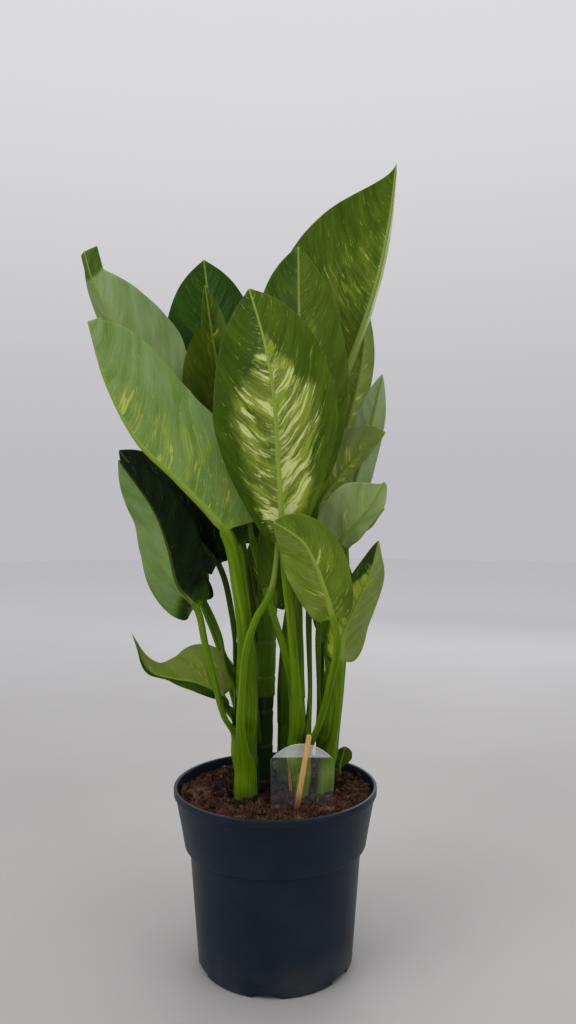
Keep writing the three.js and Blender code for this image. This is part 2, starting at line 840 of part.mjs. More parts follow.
function add(name, geometry, color, roughness) {
  const material = new THREE.MeshStandardMaterial({ color, roughness, metalness: 0 });
  const mesh = new THREE.Mesh(geometry, material);
  mesh.name = name;
  group.add(mesh);
}

add("pot", potSolid(), potBlue, 0.45);
add("soil", soilSolid(), soilBrown, 0.95);
for (const [name, cane] of Object.entries(canes)) add(`cane_${name}`, caneSolid(cane, 0), caneGreen, 0.5);
for (const [name, leaf] of Object.entries(leaves)) {
  add(name, leafSolid(leaf), shaded.includes(name) ? shadedGreen : green, 0.4);
}
add("leaf_seedling", seedlingSolid(), green, 0.4);
add("dry_sheath", drySheathSolid(), stickTan, 0.8);
add("label_stick", stickSolid(0), stickTan, 0.7);
add("label_tag", tagSolid(0), tagWhite, 0.3);

export default group;
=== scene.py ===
# A potted dieffenbachia, dressed for rendering. Tables are in millimetres, the scene in metres,
# +Z up, the front towards -Y and the origin at the centre of the pot's underside.
import math
import bpy
import bmesh
import numpy as np
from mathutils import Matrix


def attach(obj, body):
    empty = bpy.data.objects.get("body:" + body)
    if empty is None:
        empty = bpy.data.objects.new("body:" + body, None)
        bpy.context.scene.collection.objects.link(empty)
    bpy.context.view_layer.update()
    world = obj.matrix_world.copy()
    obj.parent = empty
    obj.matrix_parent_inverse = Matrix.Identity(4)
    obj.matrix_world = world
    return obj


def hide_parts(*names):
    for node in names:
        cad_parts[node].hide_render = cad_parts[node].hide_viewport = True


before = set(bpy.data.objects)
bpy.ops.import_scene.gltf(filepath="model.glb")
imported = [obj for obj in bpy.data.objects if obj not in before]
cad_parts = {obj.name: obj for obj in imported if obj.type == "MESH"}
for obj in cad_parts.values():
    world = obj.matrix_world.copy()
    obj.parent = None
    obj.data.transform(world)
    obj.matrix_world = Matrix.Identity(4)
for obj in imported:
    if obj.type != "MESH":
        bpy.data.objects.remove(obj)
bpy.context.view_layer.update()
scene = bpy.context.scene
milli = 0.001

camera = {"lens": 28.0, "place": (0.0149, -0.949, 0.526)}
cameraData = bpy.data.cameras.new("photoCamera")
cameraData.lens = camera["lens"]
cameraObject = bpy.data.objects.new("photoCamera", cameraData)
cameraObject.location = camera["place"]
cameraObject.rotation_euler = (math.pi / 2, 0, 0)
scene.collection.objects.link(cameraObject)
scene.camera = cameraObject
scene.view_settings.view_transform = "Standard"


# Curves and small sums.

def ease(value, low, high):
    share = np.clip((np.asarray(value, float) - low) / (high - low), 0, 1)
    return share * share * (3 - 2 * share)


def mix(first, second, share):
    return first + (second - first) * share


# A dense line through the points, bending as a centripetal Catmull-Rom curve.
def lineThrough(points, steps=90):
    p = np.array(points, float)
    p = np.vstack([2 * p[0] - p[1], p, 2 * p[-1] - p[-2]])
    t = np.linspace(0, 1, steps, endpoint=False)[:, None]
    parts = []
    for i in range(1, len(p) - 2):
        a, b, c, d = p[i - 1:i + 3]
        before, here, after = (np.linalg.norm(v) ** 0.5 for v in (b - a, c - b, d - c))
        start = ((b - a) / before - (c - a) / (before + here) + (c - b) / here) * here
        end = ((c - b) / here - (d - b) / (here + after) + (d - c) / after) * here
        parts.append(b + start * t + (3 * (c - b) - 2 * start - end) * t**2
                     + (2 * (b - c) + start + end) * t**3)
    return np.vstack(parts + [p[-2:-1]])


def runOf(line):
    return np.concatenate([[0], np.cumsum(np.linalg.norm(np.diff(line, axis=0), axis=1))])


# Points and directions of a line at shares of its length.
def along(line, shares):
    run = runOf(line) / runOf(line)[-1]
    slope = np.gradient(line, run, axis=0)
    point = np.stack([np.interp(shares, run, line[:, k]) for k in range(3)], 1)
    way = np.stack([np.interp(shares, run, slope[:, k]) for k in range(3)], 1)
    return point, way / np.linalg.norm(way, axis=1, keepdims=True)


# A smooth curve through a table of (place, value) that never overshoots it.
def through(table, places):
    x, y = np.array(table, float).T
    step = np.diff(y) / np.diff(x)
    slope = np.zeros(len(x))
    same = step[:-1] * step[1:] > 0
    slope[1:-1][same] = 2 * step[:-1][same] * step[1:][same] / (step[:-1] + step[1:])[same]
    slope[0], slope[-1] = step[0], step[-1]
    i = np.clip(np.searchsorted(x, places, side="right") - 1, 0, len(x) - 2)
    wide = (x[1:] - x[:-1])[i]
    t = (places - x[i]) / wide
    return ((2 * t**3 - 3 * t**2 + 1) * y[i] + (t**3 - 2 * t**2 + t) * wide * slope[i]
            + (3 * t**2 - 2 * t**3) * y[i + 1] + (t**3 - t**2) * wide * slope[i + 1])


# Sums of waves in seeded directions: soft lumps between about -1 and 1.
def lumps(points, size, seed, waves=14):
    draw = np.random.default_rng(seed)
    points = np.asarray(points, float)
    total = np.zeros(points.shape[:-1])
    for _ in range(waves):
        way = draw.normal(size=points.shape[-1])
        way *= 2 * math.pi / (size * draw.uniform(0.7, 1.5)) / np.linalg.norm(way)
        total += np.sin(points @ way + draw.uniform(0, 2 * math.pi))
    return total / math.sqrt(waves / 2) / 1.6


# Meshes.

def facesOfRings(rows, count, closed=True, capped=True):
    i, j = np.meshgrid(np.arange(rows - 1), np.arange(count if closed else count - 1), indexing="ij")
    near = (i * count + j).ravel()
    beside = (i * count + (j + 1) % count).ravel()
    faces = np.stack([near, near + count, beside + count, beside], 1).tolist()
    if capped:
        last = (rows - 1) * count
        for j in range(count // 2 - 1):
            under = count - 1 - j
            faces.append([j, j + 1, under - 1, under])
            faces.append([last + j, last + under, last + under - 1, last + j + 1])
    return faces


# Rings of points about the pot's axis, one for each (radius, height). The table goes round the body
# from the axis at its underside, out, up and back to the axis.
def turned(profile, sides):
    angle = np.arange(sides) * math.tau / sides
    radius, height = np.array(profile, float).T[..., None]
    return np.stack([radius * np.cos(angle), radius * np.sin(angle), height + 0 * angle], 2)


def turnedFaces(rows, sides):
    faces = [[a, d, c, b] for a, b, c, d in facesOfRings(rows, sides, capped=False)]
    return faces + [list(range(sides))[::-1], [(rows - 1) * sides + j for j in range(sides)]]


# The upper and under side of a thin body as one ring of points to each row.
def closedSkin(upper, under):
    return np.concatenate([upper, under[:, ::-1]], 1)


def makePiece(name, points, faces, material, nodes=(), sharp=None, values=None):
    mesh = bpy.data.meshes.new(name)
    mesh.from_pydata((np.asarray(points, float).reshape(-1, 3) * milli).tolist(), [], faces)
    for key, numbers in (values or {}).items():
        numbers = np.asarray(numbers, np.float32)
        kind, field = ("FLOAT_VECTOR", "vector") if numbers.ndim == 2 else ("FLOAT", "value")
        mesh.attributes.new(key, kind, "POINT").data.foreach_set(field, numbers.ravel())
    mesh.materials.append(material)
    mesh.shade_smooth()
    if sharp:
        mesh.set_sharp_from_angle(angle=math.radians(sharp))
    mesh.validate()
    mesh.update()
    piece = bpy.data.objects.new(name, mesh)
    scene.collection.objects.link(piece)
    if nodes:
        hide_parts(*nodes)
    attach(piece, "root")
    return piece


# Material nodes.

def newMaterial(name):
    material = bpy.data.materials.new(name)
    material.use_nodes = True
    tree = material.node_tree
    tree.nodes.clear()
    shader = tree.nodes.new("ShaderNodeBsdfPrincipled")
    output = tree.nodes.new("ShaderNodeOutputMaterial")
    tree.links.new(shader.outputs[0], output.inputs[0])
    return material, tree, shader


def feed(tree, socket, value):
    if isinstance(value, bpy.types.NodeSocket):
        tree.links.new(value, socket)
    else:
        socket.default_value = value


def calc(tree, operation, *values, clamp=False):
    node = tree.nodes.new("ShaderNodeMath")
    node.operation = operation
    node.use_clamp = clamp
    for socket, value in zip(node.inputs, values):
        feed(tree, socket, value)
    return node.outputs[0]


def span(tree, value, low, high, first=0.0, last=1.0):
    node = tree.nodes.new("ShaderNodeMapRange")
    node.interpolation_type = "SMOOTHSTEP"
    for socket, number in zip(node.inputs, (value, low, high, first, last)):
        feed(tree, socket, number)
    return node.outputs[0]


def colours(tree, share, first, second, mode="MIX"):
    node = tree.nodes.new("ShaderNodeMix")
    node.data_type = "RGBA"
    node.blend_type = mode
    for socket, value in zip((node.inputs[0], node.inputs[6], node.inputs[7]), (share, first, second)):
        feed(tree, socket, value if isinstance(value, (bpy.types.NodeSocket, float)) else (*value, 1))
    return node.outputs[2]


def ramp(tree, value, stops):
    node = tree.nodes.new("ShaderNodeValToRGB")
    feed(tree, node.inputs[0], value)
    marks = node.color_ramp.elements
    while len(marks) < len(stops):
        marks.new(0.5)
    for mark, (place, colour) in zip(marks, stops):
        mark.position = place
        mark.color = (*colour, 1)
    return node.outputs[0]


def attribute(tree, name, output="Fac"):
    node = tree.nodes.new("ShaderNodeAttribute")
    node.attribute_name = name
    return node.outputs[output]


def axes(tree, vector):
    split = tree.nodes.new("ShaderNodeSeparateXYZ")
    tree.links.new(vector, split.inputs[0])
    return list(split.outputs)


def parts(tree, name):
    return axes(tree, attribute(tree, name, "Vector"))


def joined(tree, x, y, z=0.0):
    node = tree.nodes.new("ShaderNodeCombineXYZ")
    for socket, value in zip(node.inputs, (x, y, z)):
        feed(tree, socket, value)
    return node.outputs[0]


# A vector of three values, each times its own factor.
def scaled(tree, values, factors):
    return joined(tree, *(calc(tree, "MULTIPLY", *pair) for pair in zip(values, factors)))


def mixed(tree, share, first, second):
    return calc(tree, "MULTIPLY_ADD", calc(tree, "SUBTRACT", second, first), share, first)


# base, raised and lowered by a noise that goes from 0 to 1.
def swung(tree, value, weight, base):
    return calc(tree, "MULTIPLY_ADD", calc(tree, "SUBTRACT", value, 0.5), weight, base)


def where(tree):
    return tree.nodes.new("ShaderNodeTexCoord").outputs["Object"]


def noise(tree, vector, scale=1.0, detail=3.0, rough=0.5, twist=0.0):
    node = tree.nodes.new("ShaderNodeTexNoise")
    for key, value in {"Vector": vector, "Scale": scale, "Detail": detail, "Roughness": rough,
                       "Distortion": twist}.items():
        feed(tree, node.inputs[key], value)
    return node.outputs["Fac"]


def surface(tree, shader, colour, rough, specular=0.5):
    feed(tree, shader.inputs["Base Color"], colour)
    feed(tree, shader.inputs["Roughness"], rough)
    shader.inputs["Specular IOR Level"].default_value = specular


def relief(tree, shader, height, distance, strength=1.0):
    node = tree.nodes.new("ShaderNodeBump")
    for key, value in {"Height": height, "Distance": distance, "Strength": strength}.items():
        feed(tree, node.inputs[key], value)
    tree.links.new(node.outputs[0], shader.inputs["Normal"])


# The canes.

# fresh and deep are the cane greens for a high and a low tone; a low tone is painted shade.
caneLook = {"scarSpacing": 48, "scarWidth": 1.5, "swelling": 0.5, "swellWidth": 4.0, "sides": 48,
            "ringEvery": 1.5, "mottle": (0.05, 0.075, 0.015), "aged": (0.045, 0.034, 0.014),
            "scar": (0.13, 0.14, 0.055),
            "fresh": [(0.25, (0.062, 0.130, 0.004)), (0.5, (0.095, 0.185, 0.007)),
                      (0.75, (0.14, 0.24, 0.018))],
            "deep": [(0.28, (0.010, 0.026, 0.005)), (0.7, (0.032, 0.066, 0.012))]}
soilLevel, rootDepth = 186, 60
canes = {
    "left": dict(foot=(-36, 8), middle=(-35, 3, 262), top=(-34, -4, 335), radius=(15, 12), tone=0.85,
                 scar=0.3),
    # The centre cane's low tone paints the shade it stands in, below its brighter wrapped top.
    "centre": dict(foot=(-17, 46), middle=(-15, 40, 300), top=(-10, 34, 428), radius=(13.5, 11),
                   tone=0.15, scar=0.8, wrapFrom=297, wrapGrow=1.6, wrapTone=1.3),
    "inner": dict(foot=(10, 55), middle=(10, 50, 240), top=(10, 45, 292), radius=(9.5, 8), tone=1,
                  scar=0.4),
    "right": dict(foot=(28, 10), middle=(27, 3, 262), top=(24, -6, 335), radius=(12, 9.5), tone=0.8,
                  scar=0.3),
    "outer": dict(foot=(58, 18), middle=(61, 16, 245), top=(66, 14, 300), radius=(12, 9.5), tone=0.7,
                  scar=0.4),
}
for cane in canes.values():
    x, y = cane["foot"]
    cane["line"] = lineThrough([(x, y, soilLevel - rootDepth), (x, y, soilLevel),
                                cane["middle"], cane["top"]])


# Where a cane's axis passes a height, and its radius there.
def caneAt(cane, height):
    line, (low, high) = cane["line"], cane["radius"]
    point = np.array([np.interp(height, line[:, 2], line[:, k]) for k in range(2)] + [height])
    share = min(max((height - soilLevel) / (cane["top"][2] - soilLevel), 0), 1)
    return point, mix(low, high, share)


def stemMaterial():
    material, tree, shader = newMaterial("greenCane")
    place = where(tree)
    scar, height, tone = parts(tree, "caneMap")
    x, y, _ = axes(tree, place)
    streak = noise(tree, scaled(tree, (x, y, height), (620.0, 620.0, 0.022)), 1, 4, 0.6)
    mottle = noise(tree, place, 90, 4, 0.6)
    # Low tones take the deep greens, which on the centre cane are painted shade.
    green = colours(tree, tone, *(ramp(tree, streak, caneLook[key]) for key in ("deep", "fresh")))
    green = colours(tree, span(tree, mottle, 0.62, 0.72, 0.0, 0.5), green, caneLook["mottle"])
    aged = colours(tree, span(tree, height, 22, -2), green, caneLook["aged"])
    surface(tree, shader, colours(tree, scar, aged, caneLook["scar"]),
            span(tree, mottle, 0.3, 0.8, 0.36, 0.52), 0.25)
    relief(tree, shader, streak, 0.0003, 0.3)
    return material


def makeCanes(material):
    sides, lowest = caneLook["sides"], soilLevel - rootDepth
    angle = -np.arange(sides) * 2 * math.pi / sides
    for name, cane in canes.items():
        top = cane["top"][2]
        scars = round((top - soilLevel) / caneLook["scarSpacing"])
        marks = soilLevel + 8 + (top - soilLevel) / (scars + 0.6) * np.arange(scars + 1)
        heights = np.linspace(lowest, top, int((top - lowest) / caneLook["ringEvery"]))
        rings, ringShare, tones = [], [], []
        for height in heights:
            centre, radius = caneAt(cane, height)
            beside = height - marks - 1.2 * np.sin(angle + height * 0.01)[:, None]
            scar = np.exp(-(beside / caneLook["scarWidth"]) ** 2).max(1)
            swell = np.exp(-((beside + 5) / caneLook["swellWidth"]) ** 2).max(1)
            dome = 1 - 0.35 * ease(height, top - 2.5, top) ** 2
            grow = radius * dome - cane["scar"] * scar
            grow += caneLook["swelling"] * (cane["scar"] * swell - 1)
            around = np.stack([np.cos(angle), np.sin(angle), np.full(sides, height / 14)], 1)
            grow += 0.25 * lumps(around * radius, 22, 7)
            wrapped = ease(height, *(cane.get("wrapFrom", 999) + np.array([0, 2.5])))
            grow += cane.get("wrapGrow", 0) * wrapped
            rings.append(np.stack([centre[0] + np.cos(angle) * grow, centre[1] + np.sin(angle) * grow,
                                   np.full(sides, height)], 1))
            ringShare.append(scar * 0.6 * cane["scar"])
            tones.append(np.full(sides, mix(cane["tone"], cane.get("wrapTone", 1), wrapped)))
        looks = np.stack([np.concatenate(ringShare), np.repeat(heights - soilLevel, sides),
                          np.concatenate(tones)], 1)
        makePiece("finerCane_" + name, rings, facesOfRings(len(rings), sides), material,
                  ["cane_" + name], 50, {"caneMap": looks})
    print("canes made")


# The leaves. seat is the height and compass angle where a sheath clasps its cane, or the cane's
# top alone; stalk and rib are points on the middle line; face and tipFace point out of the upper
# side; half, fold, full, shade and flecks may be given for the minus and then for the plus side.
# shade runs from 0, nearly black, to 1, pale sage; blue from 0, yellow green, to 1, blue green.
# What a leaf doesn't say is as in commonLeaf, and its tipFace is its face.

# A low shade on leaf_left_low, leaf_left_shaded and leaf_left_back is painted shade; upperShade lightens
# their upper sides, which face the rear.
commonLeaf = dict(fold=8, full=0.9, tipShare=0, baseShare=1, endShare=1, veinSlope=0.7, blue=0.1,
                  cream=0.2, stalkTone=0.8, upperShade=0)
leaves = {
    "leaf_front_centre": dict(
        cane="right", seat=(232, -112), stalkRadius=4.8,
        stalk=[(25, -28, 280), (24, -47, 324), (18, -73, 407), (13, -91, 452)],
        rib=[(10, -100, 491), (5, -100, 570), (0, -94, 648), (-11, -84, 712), (-28, -70, 772)],
        face=(0, 1, 0.1), tipFace=(0, 1, 0), half=70, fold=(6, 8), full=(0.95, 0.85), baseShare=0.45,
        shade=(0.44, 0.50), blue=0.0, flecks=(0.94, 1.1), cream=0.85, stalkTone=1,
        veinSlope=(0.5, 1.0)),
    # Its pale sage and blue tint are partly its own colour and partly a painted haze of reflected light.
    "leaf_front_left": dict(
        cane="left", seat=(288, -80), stalkRadius=8,
        stalk=[(-33, -28, 335), (-34, -42, 380), (-40, -60, 440)],
        rib=[(-53, -76, 504), (-104, -70, 561), (-150, -58, 604), (-190, -44, 672), (-215, -33, 745)],
        face=(0.6, 0.75, 0.35), tipFace=(0.6, 0.75, 0.3), half=(48, 80), fold=(52, 42), full=(1, 0.7),
        tipShare=0.2, shade=(1.0, 0.78), blue=0.4, flecks=(0.55, 0.7), cream=0.3, stalkTone=1),
    # Its pale sage and blue tint are partly its own colour and partly a painted haze of reflected light.
    "leaf_upper_left": dict(
        cane="left", seat=(335,), stalkRadius=4.6,
        stalk=[(-36, 0, 400), (-46, 14, 485), (-66, 34, 540)],
        rib=[(-103, 54, 593), (-162, 60, 687), (-208, 60, 770), (-233, 60, 822), (-243, 60, 856)],
        face=(0.3, 0.9, 0.3), half=(46, 73), fold=(34, 4), full=(1, 1.5), tipShare=0.26, baseShare=0.5,
        shade=(0.84, 0.90), blue=0.3, flecks=(0.5, 0.4), cream=0.4, tipTone=0.5),
    "leaf_tallest": dict(
        cane="centre", seat=(428,), stalkRadius=4.8,
        stalk=[(8, 34, 520), (34, 34, 590)],
        rib=[(58, 32, 640), (89, 30, 710), (121, 32, 800), (139, 36, 880), (149, 38, 957)],
        face=(-0.2, 1, 0.1), tipFace=(-0.1, 1, 0.1), half=(118, 32), fold=(6, 72), full=(1.5, 1),
        shade=(0.50, 0.86), blue=0.0, flecks=(0.6, 0.7), cream=0.3),
    "leaf_upper_right": dict(
        cane="right", seat=(335,), stalkRadius=4.6,
        stalk=[(26, -12, 420), (32, -20, 500)],
        rib=[(36, -26, 557), (34, -28, 650), (28, -26, 750), (27, -20, 835)],
        face=(0, 1, 0), tipFace=(0, 1, 0.1), half=(60, 56), fold=(12, 10), full=(0.82, 0.9),
        baseShare=0.7, shade=(0.46, 0.56), flecks=(0.5, 0.6), cream=0.4, stalkTone=0.7),
    "leaf_top_left": dict(
        cane="centre", seat=(320, 120), stalkRadius=4,
        stalk=[(-26, 62, 380), (-42, 72, 480), (-60, 76, 560)],
        rib=[(-68, 76, 605), (-80, 78, 690), (-86, 80, 780), (-94, 82, 852)],
        face=(0.1, -1, 0.2), tipFace=(0, -1, 0.1), half=(62, 64), full=0.95, shade=0.50, blue=0.7,
        flecks=(0.25, 0.35), stalkTone=0.5),
    "leaf_young_rolled": dict(
        cane="centre", seat=(345, 170), stalkRadius=3.6,
        stalk=[(-34, 36, 420), (-46, 30, 540)],
        rib=[(-58, 24, 640), (-74, 22, 720), (-86, 20, 802)],
        face=(0.3, -1, 0), tipFace=(0.5, -1, 0), half=24, fold=40, full=1, shade=0.58, blue=0.0,
        flecks=0.7, stalkTone=0.7),
    "leaf_inner_left": dict(
        cane="centre", seat=(270, -165), stalkRadius=3.8,
        stalk=[(-38, 38, 340), (-50, 36, 450)],
        rib=[(-58, 36, 556), (-72, 38, 656), (-88, 38, 760)],
        face=(0.2, -1, 0.2), tipFace=(0.2, -1, 0.1), half=(42, 46), fold=12, shade=(0.62, 0.66),
        flecks=0.4, stalkTone=0.7),
    # Its dark plus half and its dark base from baseTone are painted shade.
    "leaf_left_low": dict(
        cane="left", seat=(242, -150), stalkRadius=4,
        stalk=[(-60, -16, 286), (-70, -30, 330), (-80, -38, 376)],
        rib=[(-89, -41, 416), (-110, -41, 442), (-122, -39, 486), (-138, -35, 526), (-181, -28, 586)],
        face=(0.4, 0.9, 0.1), tipFace=(0.5, 0.8, 0.2), half=(44, 38), fold=(6, 36), full=(0.9, 1),
        shade=(0.80, 0.12), blue=0.4, flecks=0.1, cream=0.1, stalkTone=0.9, baseTone=0.26,
        upperShade=0.48),
    # Its low shade is painted shade.
    "leaf_left_shaded": dict(
        cane="left", seat=(300, 125), stalkRadius=3.6,
        stalk=[(-56, 4, 340), (-68, 0, 382)],
        rib=[(-84, -6, 419), (-112, -8, 462), (-140, -6, 506), (-166, -2, 550)],
        face=(0.5, 0.8, 0.3), half=(36, 26), fold=12, shade=0.22, flecks=0.3, cream=0.1, stalkTone=0.6,
        upperShade=0.46),
    # Its low shade is painted shade.
    "leaf_left_back": dict(
        cane="left", seat=(262, 100), stalkRadius=3.8,
        stalk=[(-46, 28, 320), (-54, 31, 400)],
        rib=[(-70, 30, 461), (-112, 38, 510), (-156, 44, 558), (-196, 46, 603)],
        face=(0.4, 0.8, 0.4), half=46, fold=12, shade=0.18, blue=0.4, flecks=0.3, stalkTone=0.4,
        upperShade=0.50),
    "leaf_left_small": dict(
        cane="left", seat=(262, 162), stalkRadius=3.2,
        stalk=[(-59, 5, 292)],
        rib=[(-62, 4, 304), (-92, 2, 322), (-122, 0, 328), (-150, -2, 338), (-170, -4, 382)],
        face=(0.1, -0.35, 1), tipFace=(0.6, -0.3, 0.8), half=(52, 26), fold=(44, 10), full=(1.5, 1.3),
        endShare=0.3, shade=(0.84, 0.46), flecks=(0.6, 0.2), cream=0.4, stalkTone=0.9),
    "leaf_inner_front": dict(
        cane="left", seat=(204, -88), stalkRadius=4.2,
        stalk=[(-40, -28, 275), (-37, -42, 330), (-32, -54, 372), (-20, -64, 408)],
        rib=[(-4, -70, 438), (4, -73, 500), (8, -72, 580)],
        face=(0, 1, 0), half=(22, 24), fold=12, full=1, shade=0.40, blue=0.0, flecks=0.2, stalkTone=1),
    "leaf_centre_left": dict(
        cane="right", seat=(282, -95), stalkRadius=4,
        stalk=[(12, -42, 364), (-4, -48, 416), (-14, -50, 455)],
        rib=[(-25, -52, 494), (-32, -54, 560), (-38, -52, 630)],
        face=(0.1, 1, 0.1), half=34, shade=0.45, flecks=0.4, cream=0.3, stalkTone=0.9),
    "leaf_front_low": dict(
        cane="right", seat=(214, -42), stalkRadius=4,
        stalk=[(52, -44, 290), (61, -80, 340), (67, -110, 388)],
        rib=[(62, -117, 414), (54, -120, 443), (44, -121, 470), (31, -120, 494), (0, -113, 516)],
        face=(0.1, 1, 0.1), tipFace=(0, 0.9, 0.4), half=(34, 33), fold=(6, 8), full=(0.85, 0.8),
        baseShare=0.8, shade=(0.74, 0.64), flecks=0.6, cream=0.45, stalkTone=1, baseTone=0.66),
    "leaf_right_middle": dict(
        cane="right", seat=(250, 0), stalkRadius=3.8,
        stalk=[(41, 0, 310), (40, -4, 423)],
        rib=[(50, 3, 528), (77, 3, 570), (104, 2, 600), (131, 0, 621)],
        face=(-0.1, 1, 0.1), half=(38, 13), full=(0.8, 0.9), shade=(0.84, 0.80), blue=0.15,
        flecks=(1.0, 0.9), cream=0.6, stalkTone=0.7),
    "leaf_right_front": dict(
        cane="outer", seat=(278, -100), stalkRadius=3.8,
        stalk=[(64, -8, 330), (60, -30, 410)],
        rib=[(72, -52, 490), (90, -58, 513), (106, -58, 532), (123, -54, 560)],
        face=(-0.2, 0.9, 0.3), half=(44, 18), full=(1.7, 0.6), shade=0.96, blue=0.2, flecks=(0.6, 0.5),
        cream=0.7),
    "leaf_right_under": dict(
        cane="outer", seat=(262, 180), stalkRadius=3.4,
        stalk=[(52, 6, 310), (52, -10, 400)],
        rib=[(68, -24, 474), (87, -28, 494), (107, -28, 512), (127, -26, 530)],
        face=(-0.4, 0.8, 0.5), half=(24, 8), shade=0.80, blue=0.2, flecks=0.1, cream=0.1),
    "leaf_right_upper": dict(
        cane="outer", seat=(236, 15), stalkRadius=3.6,
        stalk=[(80, 18, 310), (87, 18, 420)],
        rib=[(86, 22, 520), (102, 24, 580), (118, 24, 640), (130, 24, 694)],
        face=(-0.1, 1, 0.1), half=(24, 20), fold=(8, 10), shade=1.0, blue=0.3, flecks=0.5, cream=0.4,
        stalkTone=0.6),
    "leaf_right_back": dict(
        cane="outer", seat=(300,), stalkRadius=3.6,
        stalk=[(72, 30, 360), (84, 58, 440)],
        rib=[(82, 72, 600), (95, 76, 652), (109, 78, 714), (117, 78, 790)],
        face=(-0.1, 1, 0), half=(30, 19), shade=(0.70, 0.85), flecks=(0.7, 0.9), cream=0.6,
        stalkTone=0.6),
    "leaf_right_inner": dict(
        cane="outer", seat=(246, 115), stalkRadius=3.4,
        stalk=[(56, 36, 310), (58, 36, 400)],
        rib=[(66, 38, 480), (86, 42, 518), (102, 42, 550), (113, 40, 584)],
        face=(-0.4, 0.8, 0.4), half=(26, 22), shade=0.50, flecks=0.3, stalkTone=0.6),
    "leaf_right_low": dict(
        cane="outer", seat=(208, -75), stalkRadius=4.2,
        stalk=[(70, -14, 270), (73, -42, 325)],
        rib=[(73, -62, 358), (76, -66, 392), (90, -68, 424), (106, -66, 460), (116, -60, 494)],
        face=(-0.3, 1, 0.2), tipFace=(-0.5, 0.8, 0.3), half=(22, 34), fold=14, full=(0.9, 1),
        shade=(0.34, 0.82), blue=0.15, flecks=(1.3, 0.6), cream=0.1, stalkTone=1),
    "leaf_rear_right": dict(
        cane="inner", seat=(226, 60), stalkRadius=4,
        stalk=[(14, 82, 330), (22, 98, 420)],
        rib=[(30, 114, 490), (42, 126, 560), (52, 140, 626), (60, 158, 686)],
        face=(-0.2, -1, 0.3), tipFace=(-0.2, -0.8, 0.7), half=52, fold=10, full=0.8, shade=0.52,
        flecks=0.8, cream=0.6),
    "leaf_rear_left": dict(
        cane="centre", seat=(216, 136), stalkRadius=4,
        stalk=[(-36, 84, 330), (-46, 100, 420)],
        rib=[(-56, 112, 484), (-70, 122, 550), (-82, 132, 612), (-94, 148, 668)],
        face=(0.3, -1, 0.3), tipFace=(0.3, -0.8, 0.6), half=50, fold=10, full=0.8, shade=(0.48, 0.52),
        flecks=(0.75, 0.8), cream=0.55),
    "leaf_rear_side": dict(
        cane="left", seat=(208, 75), stalkRadius=3.8,
        stalk=[(-52, 54, 290), (-80, 84, 366)],
        rib=[(-108, 98, 426), (-127, 110, 460), (-148, 120, 494), (-168, 128, 526)],
        face=(0.5, -0.7, 0.6), tipFace=(0.4, -0.6, 0.8), half=(30, 42), fold=12, full=0.8,
        shade=(0.55, 0.50), flecks=(0.7, 0.6), cream=0.5, stalkTone=0.9),
    "leaf_rear_low": dict(
        cane="outer", seat=(206, 65), stalkRadius=3.6,
        stalk=[(72, 56, 270), (74, 74, 330)],
        rib=[(74, 84, 372), (75, 98, 408), (74, 112, 440), (71, 126, 470)],
        face=(-0.3, -0.8, 0.5), tipFace=(-0.3, -0.6, 0.7), half=(32, 30), fold=12, full=0.8,
        shade=(0.50, 0.54), flecks=(0.8, 0.7), cream=0.5, stalkTone=0.9),
    "leaf_rear_centre": dict(
        cane="centre", seat=(246, 92), stalkRadius=3.6,
        stalk=[(-16, 84, 310), (-14, 112, 366)],
        rib=[(-12, 128, 398), (-10, 146, 438), (-8, 160, 474), (-8, 172, 506)],
        face=(0, -0.9, 0.6), tipFace=(0, -0.6, 0.8), half=38, fold=14, full=0.8, shade=(0.56, 0.52),
        flecks=0.7, cream=0.5, stalkTone=0.9),
    "leaf_rear_inner": dict(
        cane="inner", seat=(292,), stalkRadius=3.8,
        stalk=[(12, 58, 370), (22, 76, 450)],
        rib=[(32, 84, 520), (42, 90, 600), (50, 94, 680), (54, 96, 760)],
        face=(-0.2, 1, 0.2), tipFace=(-0.2, 1, 0.1), half=38, full=0.8, shade=0.50, flecks=0.6,
        cream=0.4, stalkTone=0.6),
}

leafLook = {"bladeThickness": 0.7, "ripple": 2.0, "rippleTurns": 13, "waves": 0.5, "waveLength": 6.5,
            "quilting": 0.35, "veinSpacing": 12.0, "veinCurve": 0.4, "veinSway": 1.4, "swaySize": 46,
            "arching": 0.035, "joinShare": 0.045, "bladeStep": 2.7, "stalkStep": 4.5,
            "stalkDepth": 0.75, "gap": 0.35, "sheathBelow": 30.0, "sheathAbove": 55.0,
            "sheathWidth": 1.55, "bareWidth": 1.9}
bladeShares = [(0, 0.1), (0.05, 0.5), (0.14, 0.84), (0.26, 0.98), (0.4, 1), (0.54, 0.94), (0.68, 0.8),
               (0.8, 0.59), (0.9, 0.33), (0.96, 0.14), (1, 0.015)]
bladeSweeps = [(0, -0.56), (0.05, -0.5), (0.14, -0.24), (0.26, -0.06), (0.4, 0.08), (0.54, 0.18),
               (0.68, 0.26), (0.8, 0.3), (0.9, 0.32), (0.96, 0.3), (1, 0)]
outwards = [0.06, 0.12, 0.19, 0.26, 0.33, 0.4, 0.47, 0.54, 0.61, 0.68, 0.75, 0.82, 0.88, 0.93, 0.965,
            0.988, 1]
ribAcross = [-1, -0.6, 0, 0.6, 1]


def unit(vectors):
    vectors = np.asarray(vectors, float)
    return vectors / np.linalg.norm(vectors, axis=-1, keepdims=True)


# What the leaf's material reads at each point of a skin's upper and under side.
def leafValues(sheets, blank):
    values = {key: np.stack([closedSkin(sheet, sheet) for sheet in three], -1).reshape(-1, 3)
              for key, three in sheets.items()}
    values["upperSide"] = np.concatenate([blank + 1, blank], 1).ravel()
    return values


